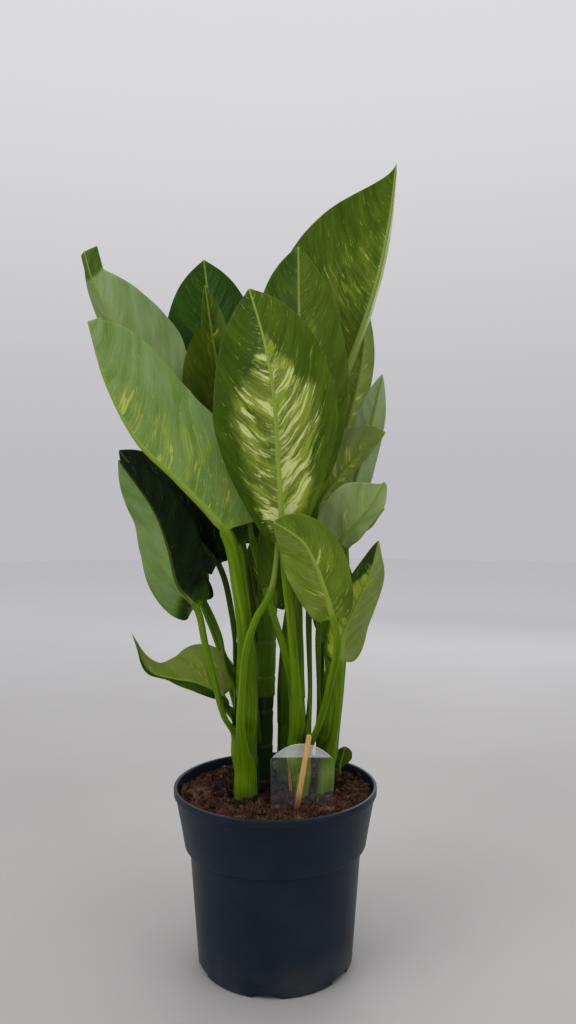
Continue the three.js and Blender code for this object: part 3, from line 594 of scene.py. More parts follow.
# A leaf as one closed skin: clasping sheath, channelled stalk, and blade with a raised rib.
def makeLeaf(name, leaf, material, seed):
    leaf = {**commonLeaf, "tipFace": leaf["face"], **leaf}
    cane, seat, stalkRadius = canes[leaf["cane"]], leaf["seat"], leaf["stalkRadius"]
    bulk, gap, seated = stalkRadius * leafLook["stalkDepth"], leafLook["gap"], len(seat) > 1
    face, tipFace = unit(leaf["face"]), unit(leaf["tipFace"])
    inward, points, claspRadius = face, [], 60
    if seated:
        compass = math.radians(seat[1])
        out = np.array([math.cos(compass), math.sin(compass), 0])
        for rise, clear in ((0, 0), (20, 0.6)):
            centre, radius = caneAt(cane, seat[0] + rise)
            points.append(centre + out * (radius + gap + 0.6 * bulk + clear))
        inward, claspRadius = -out, caneAt(cane, seat[0])[1] + gap
    else:
        points = [np.array(cane["top"]) + (0, 0, lift) for lift in (gap, 14)]
    points += leaf["stalk"]
    line = lineThrough(points + leaf["rib"])
    total = runOf(line)[-1]
    base = runOf(lineThrough(points + leaf["rib"][:1]))[-1] / total
    bladeLength, stalkLength = total * (1 - base), total * base

    # Rows along the leaf, and the plane of each. The first rows run down the cane below the seat.
    stalkRows = max(int(stalkLength / leafLook["stalkStep"]), 12)
    bladeRows = int(bladeLength / leafLook["bladeStep"])
    below = np.linspace(leafLook["sheathBelow"], 0, 11)[:-1]
    onStalk = np.concatenate([0 * below, np.linspace(0, 1, stalkRows), np.ones(bladeRows)])
    onBlade = np.concatenate([np.zeros(len(below) + stalkRows), np.linspace(0, 1, bladeRows + 1)[1:]])
    low = np.concatenate([below, np.zeros(stalkRows + bladeRows)])[:, None] / leafLook["sheathBelow"]
    origin, tangent = along(line, base * onStalk + (1 - base) * onBlade)
    for i, drop in enumerate(below):
        centre, radius = caneAt(cane, points[0][2] - drop)
        nearer = caneAt(cane, points[0][2] - drop - 1)[0]
        origin[i] = centre - inward * (radius + gap + 0.6 * bulk if seated else 0)
        tangent[i] = unit(centre - nearer)
    turn = ease(onStalk, 0.15, 0.85)[:, None]
    facing = mix(mix(inward, face, turn), tipFace, onBlade[:, None])
    up = unit(facing - (facing * tangent).sum(1, keepdims=True) * tangent)
    side = np.cross(up, tangent)

    # Columns across it: a fan on each half of the blade with the rib between.
    fan = np.array(outwards)
    out = np.concatenate([-fan[::-1], np.zeros(len(ribAcross)), fan])[None]
    onRib = np.concatenate([np.full(len(fan), -1.0), ribAcross, np.ones(len(fan))])[None]
    sign = np.where(onRib < 0, -1.0, 1.0)
    plus = sign > 0
    u = np.abs(out)
    count = out.shape[1]
    across = np.sin(np.linspace(-1, 1, count) * math.pi / 2)[None]

    def sided(key):
        minusSide, plusSide = np.broadcast_to(leaf[key], 2)
        return np.where(plus, plusSide, minusSide)

    # The stalk's section: a channel with thin wings, which wraps the cane at its foot.
    caneRadius = caneAt(cane, points[0][2])[1]
    sheath = (1 - ease(onStalk, 0.05, 0.6))[:, None]
    wrap = (1 - ease(onStalk * stalkLength, 0, leafLook["sheathAbove"]))[:, None]
    wide = stalkRadius * mix(1, leafLook["sheathWidth" if seated else "bareWidth"], sheath)
    wide = mix(wide, np.maximum(wide, 0.94 * caneRadius) if seated else caneRadius + 0.6, wrap)
    thick = bulk * mix(1.1, 1 if seated else leafLook["bareWidth"], sheath)
    bend = np.minimum(np.abs(across * wide), 0.97 * claspRadius)
    deep = claspRadius - np.sqrt(claspRadius**2 - bend**2)
    clasp = mix(bend**2 / (2 * claspRadius), deep, wrap) * sheath
    groove = 0.5 * (1 - ease(np.abs(across), 0, 0.6)) * (1 - 0.4 * ease(onStalk, 0.7, 1)[:, None])
    channel = 0.2 + 0.4 * ease(1 - np.abs(across), 0, 0.25) - groove
    wings = 0.35 * bulk * ease(np.abs(across), 0.8, 1) * sheath * (1 - wrap)
    circle = np.sqrt(np.clip(1 - across**2, 0, 1))
    stalkTop = channel * thick + clasp * seated + wings
    stalkUnder = -(0.2 + 0.77 * circle) * thick + clasp * seated + 0.6 * wings
    if seated:
        sunk = 0.6 * bulk + 1.2
        stalkTop = mix(stalkTop, clasp + sunk, ease(low, 0, 1))
        stalkUnder = mix(stalkUnder, clasp + sunk - 0.4, ease(low, 0, 1))
    else:
        stalkTop = mix(stalkTop, circle * (caneRadius + 0.6 - low), wrap)
        stalkUnder = mix(stalkUnder, -circle * (caneRadius + 0.6 - low), wrap)

    # The blade's section.
    place = onBlade[:, None]
    share = through(bladeShares, onBlade)[:, None]
    sweep = through(bladeSweeps, onBlade)[:, None]
    filled = mix(leaf["baseShare"], 1, ease(place, 0, 0.5))
    filled = filled * mix(1, leaf["endShare"], ease(place, 0.25, 0.6))
    width = sided("half") * filled * np.maximum(share ** sided("full"), leaf["tipShare"])
    ribHalf = np.minimum(mix(stalkRadius, 1.0, place), width * 0.3)
    reach = ribHalf * np.abs(onRib) * (u == 0) + (u > 0) * mix(ribHalf, width, u)
    away = np.clip(reach - ribHalf, 0, None)
    rise = np.radians(sided("fold"))
    run = place * bladeLength
    lateral = reach * sign
    curve = leafLook["veinCurve"] * reach**2 / np.maximum(width, 1)
    veinRun = run - sided("veinSlope") * reach - curve - sweep * reach * u * 0.6
    spots = np.stack([run + 0 * reach, lateral * 1.6], 2)
    veinRun = veinRun + leafLook["veinSway"] * lumps(spots, leafLook["swaySize"], seed)
    wave = leafLook["ripple"] * u**2 * share * np.sin(leafLook["rippleTurns"] * place + 2 * plus)
    phase = run / leafLook["waveLength"] + 3 * plus + seed
    wave = wave + leafLook["waves"] * u**3 * share * np.sin(phase)
    puff = np.sin(veinRun * math.pi / leafLook["veinSpacing"])
    puff = puff * ease(u, 0.02, 0.2) * (1 - ease(u, 0.8, 1))
    wave = wave + leafLook["quilting"] * share * puff
    wave = wave + leafLook["arching"] * width * (u * (1 - u) * 4) * ease(share, 0, 0.6)
    bladeX = sign * (ribHalf * np.abs(onRib) * (u == 0) + (u > 0) * (ribHalf + away * np.cos(rise)))
    bladeTop = away * np.sin(rise) + wave * (u > 0) - 0.25 * ribHalf * (1 - onRib**2) * (u == 0)
    bladeZ = sweep * reach * u
    thin = leafLook["bladeThickness"] * (1 - 0.75 * ease(u, 0.95, 1)) * ease(share, -0.05, 0.1)
    bulge = mix(bulk * 0.9, 0.3, place) * np.sqrt(np.clip(1 - onRib**2, 0, 1)) * (u == 0)
    under = thin + bulge + 0.12 * mix(bulk, 0.3, place) * (1 - ease(u, 0, 0.12)) * (u > 0)
    lean = rise * (u > 0)
    underX = bladeX + sign * under * np.sin(lean)
    bladeUnder = bladeTop - under * np.cos(lean)

    join = ease(place, 0, leafLook["joinShare"])
    topX, underX = mix(across * wide, bladeX, join), mix(across * wide, underX, join)
    topY, underY = mix(stalkTop, bladeTop, join), mix(stalkUnder, bladeUnder, join)
    forward = (bladeZ * join)[..., None] * tangent[:, None]
    middle = origin[:, None] + forward
    rings = closedSkin(*(middle + x[..., None] * side[:, None] + y[..., None] * up[:, None]
                         for x, y in ((topX, topY), (underX, underY))))

    # What the material reads: where a point lies on the leaf, and how this leaf is coloured.
    blank = 0 * across + 0 * place
    ribBand = mix(0.8 * stalkRadius, 0.7, place**0.7) + blank
    alongVein = mix(onStalk[:, None] * stalkLength + run, veinRun + stalkLength, join) + blank
    shade = sided("shade") + 0 * place
    # baseTone and tipTone set the shade at the base and the tip; leaf_left_low's dark base is painted
    # shade.
    shade = mix(leaf.get("baseTone", shade), shade, ease(place, 0.07, 0.13))
    shade = mix(shade, leaf.get("tipTone", shade), ease(place, 0.875, 0.895))
    values = leafValues({
        "veinMap": (alongVein, mix(across * wide, lateral, join) + blank, blank + seed * 3.7 + plus),
        "bladeMap": (join + blank, ribBand, u + blank),
        "toneMap": (shade, blank + leaf["blue"], sided("flecks") + blank),
        "partMap": (blank + leaf["stalkTone"], blank + leaf["cream"], place + blank)}, blank)
    # upperShade lightens the upper side of a deep leaf, whose low shade paints shade on the side seen
    # from the front.
    shadeAbove = np.maximum(shade, leaf["upperShade"])
    values["toneMap"][:, 0] = closedSkin(shadeAbove, shade).ravel()
    makePiece(name.replace("leaf_", "blade_", 1), rings, facesOfRings(len(rings), 2 * count),
              material, [name], None, values)


# Sizes of the markings along the leaf and along a vein, in millimetres.
leafMarks = {"cloud": (30.0, 26.0), "fine": (1.6, 3.0), "stripe": (9.0, 60.0), "patch": (14.0, 45.0),
             "blotch": (9.0, 20.0), "stroke": (6.5, 26.0), "dash": (2.8, 7.5), "streak": (60.0, 2.2)}
leafColours = {
    "ground": [(0.0, (0.003, 0.007, 0.001)), (0.2, (0.012, 0.025, 0.002)), (0.45, (0.046, 0.086, 0.003)),
               (0.7, (0.138, 0.190, 0.016)), (1.0, (0.30, 0.345, 0.105))],
    "bluer": (0.50, 0.95, 3.0), "vein": (0.20, 0.28, 0.05), "paleVein": (0.38, 0.43, 0.14),
    "palePatch": (0.15, 0.20, 0.015), "creamPatch": (0.26, 0.29, 0.06), "blotch": (0.24, 0.32, 0.02),
    "yellow": (0.29, 0.36, 0.03), "cream": (0.55, 0.57, 0.27), "dash": (0.28, 0.36, 0.05),
    # brightStalk is the stalk green; shadedStalk, taken by a low stalkTone, is painted shade on stalks
    # deep in the bundle.
    "brightStalk": [(0.25, (0.085, 0.160, 0.003)), (0.5, (0.130, 0.225, 0.006)),
                    (0.75, (0.190, 0.290, 0.016))],
    "shadedStalk": [(0.25, (0.012, 0.034, 0.010)), (0.7, (0.045, 0.095, 0.028))],
    "rib": (0.29, 0.36, 0.08)}


def leafMaterial():
    material, tree, shader = newMaterial("variegatedLeaf")
    veinRun, lateral, seed = parts(tree, "veinMap")
    blade, ribBand, outShare = parts(tree, "bladeMap")
    shade, blue, flecks = parts(tree, "toneMap")
    stalkTone, cream, place = parts(tree, "partMap")
    upper, colour = attribute(tree, "upperSide"), leafColours

    def veinNoise(mark, detail=3.0, rough=0.55, twist=0.0):
        along, across = leafMarks[mark]
        return noise(tree, joined(tree, calc(tree, "DIVIDE", veinRun, along), calc(
            tree, "DIVIDE", lateral, across), seed), 1, detail, rough, twist)

    def product(*values):
        result = values[0]
        for value in values[1:]:
            result = calc(tree, "MULTIPLY", result, value)
        return result

    # Green ground: the leaf's tone, painted shade on the deep leaves, cloudy, striped along the veins,
    # darker on the upper side.
    cloud, fine, stripe = veinNoise("cloud", 4), veinNoise("fine"), veinNoise("stripe")
    tone = swung(tree, fine, 0.12, swung(tree, stripe, 0.2, swung(tree, cloud, 0.34, shade)))
    tone = calc(tree, "SUBTRACT", tone, calc(tree, "MULTIPLY", upper, 0.08))
    ground = ramp(tree, tone, colour["ground"])
    ground = colours(tree, calc(tree, "MULTIPLY", blue, 0.9, clamp=True), ground,
                     colours(tree, 1.0, ground, colour["bluer"], "MULTIPLY"))

    # Side veins, a little paler than the ground.
    ridge = calc(tree, "PINGPONG", veinRun, leafLook["veinSpacing"] / 2)
    small = calc(tree, "PINGPONG", veinRun, leafLook["veinSpacing"] / 8)
    veinLine = product(span(tree, ridge, 1.0, 0.1), span(tree, outShare, 1.0, 0.4))
    veined = colours(tree, product(veinLine, span(tree, shade, 0.15, 0.6, 0.0, 0.20)), ground,
                     colour["vein"])

    # Where the leaf is variegated: near the rib, less towards the margin and the tip.
    reachShare = calc(tree, "DIVIDE", outShare, span(tree, place, 0.86, 0.5, 0.06, 0.95))
    zone = product(span(tree, reachShare, 1.12, 0.42), flecks, span(tree, place, 0.0, 0.08, 0.6, 1.0),
                   span(tree, place, 0.92, 0.66, 0.1, 1.0),
                   span(tree, veinNoise("patch", 2), 0.35, 0.65, 0.72, 1.18))
    pale = span(tree, swung(tree, cloud, 1.4, zone), 0.3, 1.2, 0.0, 0.65)
    veined = colours(tree, pale, veined, colours(tree, cream, colour["palePatch"], colour["creamPatch"]))

    # Yellow-green blotches, then cream strokes along the veins with green specks in them, and
    # small yellow dashes.
    limit = calc(tree, "MULTIPLY_ADD", zone, -0.26, 0.78)

    def pastLimit(mark, detail, rough, twist, before, after):
        return span(tree, veinNoise(mark, detail, rough, twist), calc(tree, "SUBTRACT", limit, before),
                    calc(tree, "ADD", limit, after))

    blotch = pastLimit("blotch", 3.0, 0.6, 0.15, 0.04, 0.06)
    veined = colours(tree, product(blotch, 0.6), veined, colour["blotch"])
    veined = colours(tree, product(veinLine, span(tree, zone, 0.4, 0.9, 0.0, 0.3)), veined,
                     colour["paleVein"])
    mark = product(pastLimit("stroke", 5.0, 0.66, 0.15, 0.03, 0.07),
                   span(tree, fine, 0.60, 0.70, 1.0, 0.35), span(tree, outShare, 1.0, 0.85), 0.86)
    dash = product(span(tree, veinNoise("dash", 2.0), 0.655, 0.70), calc(
        tree, "MINIMUM", calc(tree, "MULTIPLY", flecks, 1.3), 1.0), span(tree, outShare, 1.0, 0.75), 0.7)
    marked = colours(tree, mark, veined, colours(tree, cream, colour["yellow"], colour["cream"]))
    marked = colours(tree, dash, marked, colour["dash"])

    # The raised rib and the stalk, with long streaks; a low stalkTone paints shade on the stalk.
    streak = veinNoise("streak", 3, 0.5)
    stalk = colours(tree, stalkTone, ramp(tree, streak, colour["shadedStalk"]),
                    ramp(tree, streak, colour["brightStalk"]))
    rib = colours(tree, span(tree, shade, 0.1, 0.45, 0.25, 1.0), ground,
                  colours(tree, 0.5, stalk, colour["rib"]))
    fromRib = calc(tree, "SUBTRACT", calc(tree, "ABSOLUTE", lateral), ribBand)
    leaf = colours(tree, span(tree, fromRib, 0.7, -0.3), marked, rib)

    glossy = calc(tree, "SUBTRACT", span(tree, cloud, 0.3, 0.7, 0.30, 0.42), calc(
        tree, "MULTIPLY", upper, 0.05))
    surface(tree, shader, colours(tree, blade, stalk, leaf),
            calc(tree, "MULTIPLY_ADD", fine, 0.08, glossy), 0.12)
    height = calc(tree, "MULTIPLY_ADD", veinLine, 0.25, calc(tree, "MULTIPLY", stripe, 0.25))
    height = calc(tree, "MULTIPLY_ADD", fine, 0.12, height)
    height = calc(tree, "MULTIPLY_ADD", span(tree, small, 0.9, 0.0), 0.04, height)
    relief(tree, shader, mixed(tree, blade, calc(tree, "MULTIPLY", streak, 0.3), height), 0.0008, 0.6)
    return material


# The seedling, one small round blade on a thin stalk: rise, half width and half thickness.
seedling = {"foot": (80, 56, 165), "stalk": 38, "high": 65, "lean": 0.25, "shade": 0.5, "columns": 25,
            "rows": [(0, 2, 1.6), (38, 1.8, 1.4), (41.5, 5, 0.8), (44, 9, 0.6), (50, 12.5, 0.5),
                     (57, 11, 0.5), (63, 5, 0.45), (65, 1, 0.4)]}


def makeSeedling(material):
    stalk, high, columns = seedling["stalk"], seedling["high"], seedling["columns"]
    rises = np.concatenate([np.linspace(0, stalk, 16), np.linspace(stalk + 1, high, 30)])
    table = np.array(seedling["rows"])
    wide, thick = (through(table[:, [0, k]], rises)[:, None] for k in (1, 2))
    u = np.sin(np.linspace(-1, 1, columns) * math.pi / 2)[None]
    x = (np.clip(rises - stalk, 0, None) * seedling["lean"])[:, None] + u * wide
    up = thick * (1 - 0.75 * u**2)
    cup = 0.05 * np.abs(u * wide) ** 1.3 * ease(rises, 40, 46)[:, None]
    z = rises[:, None] + 0 * x
    rings = closedSkin(*(np.stack([x, y + cup, z], 2) + seedling["foot"] for y in (up, -up)))
    blank = 0 * x
    place = np.clip((rises - 40) / 25, 0, 1)[:, None] + blank
    values = leafValues({
        "veinMap": (z - 0.6 * np.abs(u * wide), u * wide, blank + 50),
        "bladeMap": (ease(rises, stalk, stalk + 5)[:, None] + blank, blank + 0.6, np.abs(u) + blank),
        "toneMap": (blank + seedling["shade"], blank + 0.1, blank),
        "partMap": (blank + 0.9, blank, place)}, blank)
    makePiece("seedlingBlade", rings, facesOfRings(len(rings), 2 * columns), material,
              ["leaf_seedling"], None, values)


# The withered strip of an old sheath: rise, half width and how far it has come off the cane.
drySheath = {"level": 193, "high": 48, "thickness": 0.7, "turn": 0.4, "columns": 15,
             "crinkle": 0.35, "curl": 0.8,
             "rows": [(0, 5, 0), (14, 4.5, 0.6), (28, 3.6, 1.6), (40, 2.4, 3.4), (48, 0.8, 6)],
             "browns": [(0.3, (0.12, 0.035, 0.006)), (0.5, (0.38, 0.14, 0.020)),
                        (0.7, (0.58, 0.29, 0.06))]}


def dryMaterial():
    material, tree, shader = newMaterial("witheredSheath")
    x, y, z = axes(tree, where(tree))
    grain = noise(tree, joined(tree, calc(tree, "MULTIPLY", y, 900.0), calc(
        tree, "MULTIPLY", z, 60.0), x), 1, 4, 0.6)
    surface(tree, shader, ramp(tree, grain, drySheath["browns"]),
            span(tree, grain, 0.3, 0.7, 0.6, 0.85))
    relief(tree, shader, grain, 0.0006, 0.9)
    return material


def makeDrySheath(material):
    centre, radius = caneAt(canes["right"], drySheath["level"])
    table = np.array(drySheath["rows"])
    rises = np.linspace(0, drySheath["high"], 50)
    wide, out = (through(table[:, [0, k]], rises)[:, None] for k in (1, 2))
    u = np.linspace(-1, 1, drySheath["columns"])[None]
    half = drySheath["thickness"] / 2
    crinkle = drySheath["crinkle"] * np.sin(rises[:, None] / 2.6 + 3 * u) * (1 - 0.4 * np.abs(u))
    across = u * wide * (1 + 0.08 * np.sin(rises[:, None] / 3.1))
    reach = radius + 0.85 + out + crinkle * ease(out, 0.2, 2) - across**2 / (2 * radius)
    curl = drySheath["curl"] * ease(rises, 20, drySheath["high"])[:, None] * u**2 * wide
    sine, cosine = math.sin(drySheath["turn"]), math.cos(drySheath["turn"])
    skin = []
    for edge in (half, -half):
        x, y = curl + edge * (1 - 0.7 * u**4) - reach, -2 - across
        skin.append(np.stack([centre[0] + x * cosine - y * sine, centre[1] + x * sine + y * cosine,
                              drySheath["level"] + rises[:, None] + 0 * across], 2))
    rings = closedSkin(*skin)
    makePiece("curledDrySheath", rings, facesOfRings(len(rings), 2 * drySheath["columns"]), material,
              ["dry_sheath"])
    print("sheath and seedling made")


# The pot.

pot = {"height": 204, "rim": 120, "lip": 8, "base": 91, "collarFoot": 136, "collar": 107, "body": 101,
       "wall": 2.4, "raised": 5, "hub": 48, "footRing": 77, "sides": 180, "notches": 6,
       "notchTurn": -0.1, "notchBox": (34, 30, 10),
       "drainRadius": 6, "drainCircle": 63, "worn": (0.07, 0.085, 0.10), "dust": (0.13, 0.115, 0.10),
       "shell": [(0.3, (0.006, 0.014, 0.024)), (0.7, (0.012, 0.023, 0.037))]}


def potMaterial():
    material, tree, shader = newMaterial("slatePlastic")
    place = where(tree)
    x, y, high = axes(tree, place)
    cloud = noise(tree, place, 14, 4, 0.55)
    grit = noise(tree, place, 900, 3, 0.6)
    rub = noise(tree, joined(tree, x, y, calc(tree, "MULTIPLY", high, 7.0)), 45, 5, 0.7)
    shell = ramp(tree, cloud, pot["shell"])
    worn = colours(tree, span(tree, rub, 0.60, 0.80, 0.0, 0.25), shell, pot["worn"])
    dusty = calc(tree, "MULTIPLY", span(tree, high, 0.05, 0.0), span(tree, cloud, 0.35, 0.7, 0.05, 0.35))
    rough = calc(tree, "MULTIPLY_ADD", span(tree, rub, 0.55, 0.8), 0.16, span(
        tree, cloud, 0.3, 0.7, 0.34, 0.44))
    surface(tree, shader, colours(tree, dusty, worn, pot["dust"]), rough, 0.27)
    relief(tree, shader, calc(tree, "MULTIPLY_ADD", rub, 0.35, grit), 0.00012, 0.35)
    return material


# Rounds the corners of a profile: each point may carry a radius as its third number.
def rounded(profile, steps=5):
    result = []
    for i, point in enumerate(profile):
        here = np.array(point[:2], float)
        if len(point) < 3:
            result.append(here)
            continue
        before, after = (np.array(profile[k][:2], float) for k in (i - 1, i + 1))
        start, end = (here + unit(other - here) * point[2] for other in (before, after))
        for t in np.linspace(0, 1, steps):
            result.append((1 - t) ** 2 * start + 2 * t * (1 - t) * here + t**2 * end)
    return result


# The shell's outline as (radius, height), out under the base, up the wall and down inside.
def potProfile():
    rim, high, base, wall, body, collar, step, raised, hub, ring = (pot[key] for key in (
        "rim", "height", "base", "wall", "body", "collar", "collarFoot", "raised", "hub", "footRing"))
    lipFoot, inside = high - pot["lip"], raised + wall
    return rounded([
        (0.4, 0), (hub - 2, 0, 1.2), (hub, raised, 1.2), (ring, raised, 1.2), (ring + 2, 0, 0.7),
        (base - 1.6, 0), (base, 1.8, 1.2), (96, 67), (body, step - 3, 1.5), (collar, step, 1.5),
        (112, 165), (rim - 2.2, lipFoot - 1, 0.8), (rim, lipFoot, 0.9), (rim, high, 1.2),
        (rim - 3.4, high, 0.8), (rim - 4.2, high - 2, 0.8), (110, 168), (collar - wall, step + 2, 1.5),
        (body - wall, step - 1, 1.5), (base - wall, inside + 2, 1.5), (base - 4.4, inside, 1.2),
        (hub + 2, inside, 1.2), (hub, wall, 1.2), (0.4, wall)])


def makePot(material):
    profile, sides = potProfile(), pot["sides"]
    piece = makePiece("nurseryPot", turned(profile, sides), turnedFaces(len(profile), sides), material,
                      ["pot"])
    cutter = bmesh.new()
    for i in range(pot["notches"]):
        angle = -math.pi / 2 + pot["notchTurn"] + i * math.tau / pot["notches"]
        way = np.array([math.cos(angle), math.sin(angle)])
        box = bmesh.ops.create_cube(cutter, size=1)["verts"]
        bmesh.ops.scale(cutter, vec=[size * milli for size in pot["notchBox"]], verts=box)
        bmesh.ops.translate(cutter, vec=((pot["base"] - 7) * milli, 0, 0), verts=box)
        drainRadius = pot["drainRadius"] * milli
        drain = bmesh.ops.create_cone(cutter, cap_ends=True, segments=40, radius1=drainRadius,
                                      radius2=drainRadius, depth=0.02)["verts"]
        bmesh.ops.translate(cutter, vec=(pot["drainCircle"] * milli, 0, 0.008), verts=drain)
        turn = [[way[0], -way[1], 0], [way[1], way[0], 0], [0, 0, 1]]
        for vertex in box + drain:
            vertex.co = [sum(a * b for a, b in zip(row, vertex.co)) for row in turn]
    cutterMesh = bpy.data.meshes.new("notchCutter")
    cutter.to_mesh(cutterMesh)
    cutter.free()
    cutterObject = bpy.data.objects.new("notchCutter", cutterMesh)
    scene.collection.objects.link(cutterObject)
    cut = piece.modifiers.new("notches", "BOOLEAN")
    cut.operation, cut.solver, cut.object = "DIFFERENCE", "EXACT", cutterObject
    cut.use_self = True
    made = bpy.data.meshes.new_from_object(piece.evaluated_get(bpy.context.evaluated_depsgraph_get()))
    piece.modifiers.clear()
    piece.data = made
    bpy.data.objects.remove(cutterObject)
    bpy.data.meshes.remove(cutterMesh)
    piece.data.shade_smooth()
    piece.data.set_sharp_from_angle(angle=math.radians(34))
    print("pot made")


# The soil.

soil = {"heap": 8, "lump": 3, "grain": 2.2, "hollow": 3.5, "sides": 300, "seed": 11, "crumbs": 900,
        "crumbSize": 0.7, "crumbGrowth": 2.6, "fibres": 320, "fibreLength": (7, 26),
        "fibreRadius": (0.18, 0.45), "strawColour": (0.22, 0.115, 0.055),
        "peatColours": [(0.36, (0.004, 0.002, 0.0015)), (0.54, (0.018, 0.008, 0.005)),
                        (0.74, (0.060, 0.026, 0.014)), (1.0, (0.16, 0.080, 0.048))],
        "inPot": [(0.5, 2.9), (48.5, 2.9), (49.2, 7.8), (85.9, 7.8), (87.9, 10.2), (97.9, 135.3),
                  (103.9, 138.6)],
        "clods": [(-90, -20, 13, 0.75), (-15, -13, 10, -0.1), (-96, 12, 6, 0.5), (-62, -62, 5, 0.35),
                  (-26, -74, 5, 0.15), (8, -92, 4.5, 0.4), (84, -34, 5.5, 0.55), (72, -56, 4, 0.2),
                  (98, 4, 5, 0.6), (-72, 40, 6, 0.3), (-40, 82, 6, 0.4), (34, 88, 5, 0.6),
                  (78, 44, 4.5, 0.3), (4, -18, 5, 0.1), (-66, -8, 5, 0.1)]}


def soilHeight(x, y):
    radius = np.hypot(x, y)
    inside = np.where(radius < 112, 1, 0.4)
    wavy = np.sin(x / 9 + 1) * np.cos(y / 11) + 0.7 * np.sin(x / 5.3 - y / 6.1)
    height = soilLevel + soil["heap"] * ease(radius, 40, 104) + soil["lump"] * wavy * inside
    spots = np.stack([x, y], -1)
    height = height + soil["grain"] * (0.9 * lumps(spots, 13, 21, 24) + 0.75 * lumps(spots, 6, 22, 30)
                                       + 0.5 * lumps(spots, 3.4, 23, 40)) * inside
    for cane in canes.values():
        apart = np.hypot(x - cane["foot"][0], y - cane["foot"][1]) - cane["radius"][0]
        height = height - soil["hollow"] * np.exp(-(apart / 5.0) ** 2)
    return height


def soilMaterial(name, light):
    material, tree, shader = newMaterial(name)
    place = where(tree)
    clump = noise(tree, place, 55, 5, 0.65)
    grain = noise(tree, place, 420, 4, 0.7)
    share = calc(tree, "MULTIPLY_ADD", attribute(tree, "tint"), 0.5, calc(
        tree, "MULTIPLY_ADD", grain, 0.55, calc(tree, "MULTIPLY_ADD", clump, 0.8, -0.22)))
    surface(tree, shader, colours(tree, light, ramp(tree, share, soil["peatColours"]),
                                  soil["strawColour"]), span(tree, clump, 0.3, 0.7, 0.78, 0.97), 0.25)
    relief(tree, shader, grain, 0.0012, 0.8)
    return material


# The corners and faces of a round ball.
def roundBall(subdivisions):
    ball = bmesh.new()
    bmesh.ops.create_icosphere(ball, subdivisions=subdivisions, radius=1)
    corners = np.array([v.co for v in ball.verts])
    faces = [[v.index for v in f.verts] for f in ball.faces]
    ball.free()
    return corners, faces


# Many small bodies with the same faces as one piece.
def makeLoose(name, shapes, faces, material, tint):
    each = len(shapes[0])
    faces = [[corner + k * each for corner in face] for k in range(len(shapes)) for face in faces]
    makePiece(name, np.concatenate(shapes), faces, material, (), None, {"tint": tint})


# A place on the soil, drawn evenly over its surface.
def drawnSpot(draw, reach, nearest):
    radius, turn = reach * math.sqrt(draw.uniform(nearest, 1)), draw.uniform(0, math.tau)
    return np.array([radius * math.cos(turn), radius * math.sin(turn)])


def makeCrumbs(draw, material):
    corners, faces = roundBall(2)
    shapes, tints = [], []
    for k in range(soil["crumbs"]):
        spot = drawnSpot(draw, 109, 0.02)
        size = soil["crumbSize"] + soil["crumbGrowth"] * draw.uniform() ** 3.2
        shape = corners * draw.uniform(0.55, 1.3, 3)
        shape = shape * (1 + 0.32 * lumps(corners * 10 + draw.uniform(-99, 99, 3), 12, k, 6))[:, None]
        turn = draw.uniform(0, math.tau)
        sine, cosine = math.sin(turn), math.cos(turn)
        spin = np.array([[cosine, -sine, 0], [sine, cosine, 0], [0, 0, 1]])
        high = soilHeight(*spot) + size * draw.uniform(-0.1, 0.5)
        shapes.append(shape @ spin.T * size + (*spot, high))
        tints.append(np.full(len(corners), draw.uniform(0.0, 1.0) ** 1.6))
    makeLoose("soilCrumbs", shapes, faces, material, np.concatenate(tints))


# Soft broken clods that lie half sunk, each given as x, y, size and tint.
def makeClods(material):
    corners, faces = roundBall(4)
    shapes, tints = [], []
    for k, (x, y, size, tint) in enumerate(soil["clods"]):
        rough = 1 + 0.20 * lumps(corners, 1.3, 40 + k, 10) + 0.10 * lumps(corners, 0.45, 60 + k, 24)
        rough = rough + 0.05 * lumps(corners, 0.2, 80 + k, 30)
        shape = corners * rough[:, None] * size * np.array([1, 0.85, 0.7])
        shapes.append(shape + (x, y, soilHeight(x, y) + 0.3 * size))
        tints.append(tint + 0.25 * lumps(corners, 0.6, 90 + k, 16))
    makeLoose("soilClods", shapes, faces, material, np.concatenate(tints))


# Coir fibres that lie over the soil.
def makeFibres(draw, material):
    shapes, sides, steps = [], 5, 9
    around = -np.arange(sides) * math.tau / sides
    for _ in range(soil["fibres"]):
        spot = drawnSpot(draw, 106, 0.03)
        long, way = draw.uniform(*soil["fibreLength"]), draw.uniform(0, math.tau)
        curl = draw.uniform(-0.07, 0.07)
        heading = way + curl * np.linspace(0, long, steps)
        path = np.stack([np.cumsum(np.cos(heading)), np.cumsum(np.sin(heading))], 1)
        path = spot + path * long / steps
        path = path * np.minimum(1, 110 / np.hypot(*path.T))[:, None]
        arch = draw.uniform(0.2, 2.4) * np.sin(np.linspace(0, math.pi, steps))
        high = soilHeight(path[:, 0], path[:, 1]) + arch + 0.5
        taper = np.interp(np.linspace(0, 1, steps), [0, 0.2, 0.8, 1], [0.5, 1, 1, 0.4])
        thick = (draw.uniform(*soil["fibreRadius"]) * taper)[:, None]
        cross = np.stack([-np.sin(heading), np.cos(heading)], 1)
        ring = np.zeros((steps, sides, 3))
        ring[..., :2] = path[:, None] + cross[:, None] * (np.cos(around) * thick)[..., None]
        ring[..., 2] = high[:, None] + np.sin(around) * thick
        shapes.append(ring.reshape(-1, 3))
    faces = facesOfRings(steps, sides, capped=False)
    faces += [list(range(sides)), [(steps - 1) * sides + j for j in range(sides)][::-1]]
    makeLoose("soilFibres", shapes, faces, material, 0.5 + 0.4 * lumps(np.concatenate(shapes), 30, 9))


